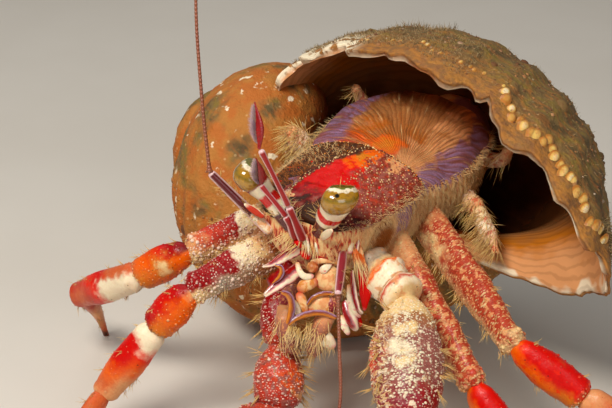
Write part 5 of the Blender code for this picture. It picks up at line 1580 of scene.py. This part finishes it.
# Large lumps of crust: turns back from the lip, degrees round it, height and radius in mm
CRUST = ((0.05, 10, 1.0, 2.2), (0.09, -40, 1.1, 2.4), (0.16, 35, 0.9, 2.0), (0.24, -10, 1.0, 2.2),
         (0.33, 20, 0.9, 2.0), (0.12, 60, 0.9, 1.7), (0.3, -35, 1.0, 1.9))


def shell_points(turn, angle, inset):
    """Points of the log spiral: turns back from the lip, angle round the growth line, depth in mm."""
    lip = unit(LIP_WAY - SPIRE_WAY * LIP_WAY.dot(SPIRE_WAY))
    apex = MOUTH_CENTRE + SPIRE_WAY * SPIRE_TO_MOUTH - lip * AXIS_TO_MOUTH
    back = np.cross(SPIRE_WAY, lip)
    here = turn - LIP_SWEEP * np.maximum(0.0, np.sin(angle)) ** 1.5
    radial, axial = GROWTH_RADIAL ** -here, GROWTH_AXIAL ** -here
    out = lip * np.cos(2 * np.pi * here)[..., None] + back * np.sin(2 * np.pi * here)[..., None]
    inner = inset / radial
    reach = AXIS_TO_MOUTH + (MOUTH_HALF_WIDTH - inner) * np.cos(angle)
    reach = reach + SHOULDER_DROP * np.minimum(0, np.sin(angle))
    drop = SPIRE_TO_MOUTH + (MOUTH_HALF_LENGTH - inner) * np.sin(angle)
    return apex + out * (reach * radial)[..., None] - SPIRE_WAY * (drop * axial)[..., None]


# Rows of the shell's grid: back from the lip inside, over the lip, then the last and the older whorls outside
INNER_ROWS, LIP_ROWS, LAST_ROWS, OLDER_ROWS = 80, 5, 200, 98
SHELL_COLUMNS = 260


def make_shell():
    angle = ring(SHELL_COLUMNS)
    turn = np.concatenate([np.linspace(HOLLOW_TURNS, 0.002, INNER_ROWS), np.zeros(LIP_ROWS),
                           0.002 + 0.998 * np.linspace(0, 1, LAST_ROWS) ** 1.15,
                           np.linspace(1.01, TURNS, OLDER_ROWS)])
    rounding = 0.5 + 0.5 * np.cos(np.linspace(0.3, 2.84, LIP_ROWS))
    wall = SHELL_WALL * np.concatenate([np.ones(INNER_ROWS), rounding, np.zeros(LAST_ROWS + OLDER_ROWS)])
    wall = np.where(turn < 0.06, wall * (0.45 + 0.55 * ease(turn / 0.06)), wall)
    grid_turn, grid_angle = np.meshgrid(turn, angle, indexing="ij")
    outside = (np.arange(len(turn)) >= INNER_ROWS + 2)[:, None]
    jag = 0.01 * cloud(np.stack([np.cos(angle) * 6, np.sin(angle) * 6, angle * 0], -1), 1.0, 3)
    for middle, depth, width in LIP_BREAKS:
        jag = jag + depth * np.exp(-((angle - math.radians(middle % 360)) / width) ** 2)
    shifted = grid_turn + jag[None] * np.exp(-grid_turn / 0.05)
    depth = wall[:, None]
    skin = Skin(shell_points(shifted, grid_angle, depth), turn, angle)
    open_face = ease(0.5 + np.cos(grid_angle) / 0.16) * ease((LAST_WHORL - grid_turn) / 0.05)
    ribs = 0.5 - 0.5 * np.cos(grid_angle * 24)
    between = 0.5 - 0.5 * np.cos(grid_angle * 96)
    lumps = cloud(skin.points, 1.6, 3)
    height = outside * (RIB_HEIGHT * ribs * open_face + 0.1 * between * open_face + 0.13 * lumps)
    for turns, degrees, high, radius in CRUST:
        at = shell_points(np.array(turns), np.array(np.radians(degrees)), 0.0)
        far = np.linalg.norm(skin.points - at, axis=-1) / radius
        height = height + outside * high * np.clip(1 - far, 0, 1) ** 0.8 * (0.8 + 0.2 * lumps)
    height = height + ~outside * 0.07 * np.sin(grid_turn * 260 + 2.0 * cloud(skin.points, 8.0))
    away = skin.points - shell_points(shifted, grid_angle, 1.0 + depth)
    skin.points = skin.points + unit(away) * height[..., None] * np.where(outside, 1, -1)[..., None]
    skin.points[..., 2] = np.maximum(skin.points[..., 2], FLOOR)
    form = Form()
    form.add_grid(skin.points, along=np.minimum(grid_turn / TURNS, 1), bead=np.sin(grid_angle),
                  side=np.cos(grid_angle), top=outside * 1.0, tint=grid_turn)
    form.piece("shell_skin", shell_paint(), "shell", "shell")
    last = slice(INNER_ROWS + LIP_ROWS + 1, INNER_ROWS + LIP_ROWS + LAST_ROWS)
    outer = Skin(skin.points[last], turn[last], angle)
    outer.out = unit(away[last])
    make_crust(outer)
    make_lip_beads(outer)


def make_lip_beads(outer):
    """Rounded beads in a row behind the lip, large on the far side and small and broken on the top."""
    row = np.searchsorted(outer.along, BEADS_BACK)
    form = Form()
    for first, last, step, radius, share in LIP_BEADS:
        even = np.arange(first, last, step)
        places = np.radians(even + draw.uniform(-0.3, 0.3, len(even)))
        places = places[draw.random(len(places)) < share]
        share_round = places % (2 * np.pi) / (2 * np.pi)
        column = np.round(share_round * SHELL_COLUMNS).astype(int) % SHELL_COLUMNS
        at = (row + draw.integers(-1, 2, len(column)), column)
        spots = {"root": outer.points[at], "out": outer.out[at], "way": outer.way[at],
                 "along": outer.along[at[0]], "angle": outer.angle[column]}
        beads(form, spots, radius, radius * 0.28, stretch=0.66, sides=16, lean=0.1, pale=(0.45, 0.9),
              scatter=0.12, dome=SOFT_DOME)
    paint = Paint("lip_beads")
    # Ochre beads with straw to ivory crests: partly their own pale colour, partly a painted highlight on
    # their tops.
    colour = paint.ramp(paint.value("bead"), "0 ochre, 0.4 ochre, 0.75 straw, 0.95 ivory")
    colour = paint.blotch(colour, "honey", (0.6, 4.0), (0.5, 0.7), 0.5)
    dents = paint.bump(paint.noise(0.5, 3.0), 0.08)
    form.piece("shell_beads", paint.finish(colour, 0.34, dents, coat=(0.2,), glow=(0.2, 1.0)), "shell")


def shell_paint():
    """Olive brown and crusted outside, golden on the older whorls, and tan inside near the lip, darkening to
    brown and umber deeper in as painted shade in the shell's hollow.
    """
    paint = Paint("shell")
    turn, outside, far_side = paint.value("tint"), paint.value("top"), paint.value("bead")
    growth = paint.math("SINE", paint.add(paint.times(turn, 330.0), paint.times(paint.noise(6.0, 3.0), 14.0)))
    crust = paint.ramp(paint.noise(5.0, 6.0), "0 umber, 0.36 moss, 0.45 khaki, 0.52 olive, 0.57 khaki, "
                                              "0.68 moss, 0.8 khaki, 1 grey")
    for patch in SHELL_PATCHES:
        crust = paint.blotch(crust, *patch)
    crust = paint.over(crust, "honey", growth, 0.5, 1.0, 0.25)
    golden = paint.times(paint.between(turn, 0.3, 0.55), paint.between(paint.noise(7.0, 3.0), 0.36, 0.5))
    crust = paint.mix(golden, crust, paint.blotch("ochre", "honey", (3.0, 4.0), (0.4, 0.6)))
    crust = paint.mix(paint.times(golden, paint.between(paint.noise(2.2, 3.0), 0.64, 0.7)), crust, "ivory")
    crust = paint.over(crust, "cream", paint.cells(1.6), 0.18, 0.1, 0.3)
    rim = paint.mix(paint.noise(0.7, 3.0), "russet", "khaki")
    rim = paint.over("ochre", rim, paint.noise(1.1, 4.0), 0.4, 0.62, 0.7)
    crust = paint.over(crust, rim, turn, 0.045, 0.005, 0.75)
    broken = paint.times(paint.between(turn, 0.05, 0.02), paint.between(far_side, -0.36, -0.5))
    broken = paint.times(broken, paint.between(paint.noise(1.5, 4.0), 0.4, 0.5))
    crust = paint.mix(broken, crust, "ivory")
    depth = paint.add(turn, paint.between(paint.noise(5.0, 2.0), 0.3, 0.7, -0.02, 0.02))
    # Inside: ivory at the lip, then peach, amber and tan, then brown and umber deeper in; the darkening
    # deeper in is painted shade in the shell's hollow.
    inner = paint.ramp(depth, "0 ivory, 0.012 peach, 0.05 peach, 0.11 amber, 0.18 tan, 0.26 brown, 0.4 umber")
    lines = paint.noise_at(paint.grid(0.0, 0.0, 0.6), 1.0, 4.0)
    inner = paint.over(inner, "brown", growth, 0.1, 0.95, 0.22)
    inner = paint.over(inner, "brown", lines, 0.5, 0.7, 0.3)
    colour = paint.mix(outside, inner, crust)
    rough = paint.make("ShaderNodeMix", {0: outside, 2: 0.24, 3: 0.78}).outputs[0]
    grit = paint.times(paint.add(paint.noise(0.5, 5.0), paint.noise(1.8, 4.0)), outside)
    pits = paint.bump(paint.add(grit, paint.times(growth, 0.06)), 0.28)
    return paint.finish(colour, rough, pits)


def make_crust(outer):
    """Grit, low lumps and short weed on the shell's outside."""
    form = Form()
    open_side = lambda u, a: (np.cos(a) > -0.3) * (u > 0.01) * (u < 0.8)
    strew(form, outer, 1500, open_side, 0.6, 0.2, 0.12, sides=5)
    strew(form, outer, 60, open_side, 2.5, 0.6, 0.25, sides=8)
    paint = Paint("crust")
    colour = paint.ramp(paint.value("tint"), "0 moss, 0.3 brown, 0.6 khaki, 0.85 tan, 1 grey")
    colour = paint.blotch(colour, "brown", (0.5, 4.0), (0.4, 0.7), 0.6)
    form.piece("shell_crust", paint.finish(colour, 0.8, paint.bump(paint.noise(0.2, 3.0), 0.08)), "shell")
    weed = Form()
    near_lip = lambda u, a: (np.abs(u - 0.03) < 0.03) * (np.cos(a - 5.2) > 0.3)
    top = outer.spots(4400, lambda u, a: open_side(u, a) * (0.04 + near_lip(u, a)))
    grow(weed, outer, top, (0.3, 0.8), 0.05, 1, 0, 0.9, rings=3)
    for turns, degrees, wide, count, length in WEED_TUFTS:
        middle = math.radians(degrees % 360)
        tuft = outer.spots(count, lambda u, a: np.hypot((u - turns) * 14, a - middle) < wide)
        bristles(weed, tuft, tuft["out"] + stray(tuft, 1.0), draw.uniform(0.4, length, count), 0.05,
                 draw.uniform(-0.4, 0.4, (count, 3)), rings=4)
    weed.piece("shell_weed", hair("weed", "umber", "moss", 0.8), "shell")


# Camera, lights and floor

SENSOR = 36.0
CLIP_START = 0.01
# The lights: name, which way from the point they face, how far, their sizes in mm, power and colour
LIGHTS = (
    ("key", TO_CAMERA + PICTURE_UP * 0.55 - PICTURE_RIGHT * 0.4, 330, (150, 70), 1.15, (1, 0.95, 0.88)),
    ("fill", TO_CAMERA + PICTURE_RIGHT * 0.55 - PICTURE_UP * 0.05, 400, (200, 200), 0.32),
    ("back", -TO_CAMERA * 0.6 + UP * 1.1 - PICTURE_RIGHT * 0.3, 380, (260, 200), 0.3),
)
# The point that the lights face and half the floor's width, in millimetres
LIT_POINT = np.array([5.0, 10.0, -5.0])
HALF_FLOOR = 900.0


def show(name, data):
    """A new object of the scene that holds the data."""
    thing = bpy.data.objects.new(name, data)
    bpy.context.scene.collection.objects.link(thing)
    return thing


def aim(thing, location, target, right=None):
    back = unit(location - target)
    right = unit(np.cross(UP, back)) if right is None else unit(right - back * back.dot(right))
    over = np.cross(back, right)
    turn = Matrix([[*row] for row in np.stack([right, over, back], axis=1)])
    thing.matrix_world = Matrix.Translation(Vector(place(location))) @ turn.to_4x4()


def make_camera():
    data = bpy.data.cameras.new("camera")
    camera = show("camera", data)
    data.sensor_width = SENSOR
    data.lens = SENSOR * PIXELS_PER_MM * CAMERA_DISTANCE / PICTURE_WIDTH
    data.clip_start = CLIP_START
    middle = PICTURE_RIGHT * (PICTURE_WIDTH / 2 - EYES_AT[0]) + PICTURE_UP * (EYES_AT[1] - PICTURE_HEIGHT / 2)
    aim(camera, TO_CAMERA * CAMERA_DISTANCE, middle / PIXELS_PER_MM, PICTURE_RIGHT)
    bpy.context.scene.camera = camera


def add_light(name, way, distance, size, power, colour=(1, 1, 1)):
    data = bpy.data.lights.new(name, "AREA")
    data.shape = "RECTANGLE"
    data.size, data.size_y = size[0] * MM, size[1] * MM
    data.energy = power
    data.color = colour
    aim(show(name, data), LIT_POINT + unit(way) * distance, LIT_POINT)


def make_stage():
    mesh = bpy.data.meshes.new("floor")
    corners = [(x * HALF_FLOOR, y * HALF_FLOOR, FLOOR) for x, y in ((-1, -1), (1, -1), (1, 1), (-1, 1))]
    mesh.from_pydata([tuple(place(corner)) for corner in corners], [], [(0, 1, 2, 3)])
    floor = show("floor", mesh)
    paint = Paint("floor")
    mesh.materials.append(paint.finish(paint.blotch("sand", "dune", (40.0, 4.0), (0.3, 0.7), 0.25), 0.75))
    world = bpy.data.worlds.new("studio")
    bpy.context.scene.world = world
    world.use_nodes = True
    background = world.node_tree.nodes["Background"]
    background.inputs["Color"].default_value = COLOURS["haze"]
    background.inputs["Strength"].default_value = 0.2
    for light in LIGHTS:
        add_light(*light)
    bpy.context.scene.view_settings.view_transform = "Standard"


make_camera()
make_stage()
make_shell()
make_body()
make_eyes()
make_antennules()
make_antennae()
make_mouth()
make_hind_legs()
make_legs()
make_claws()
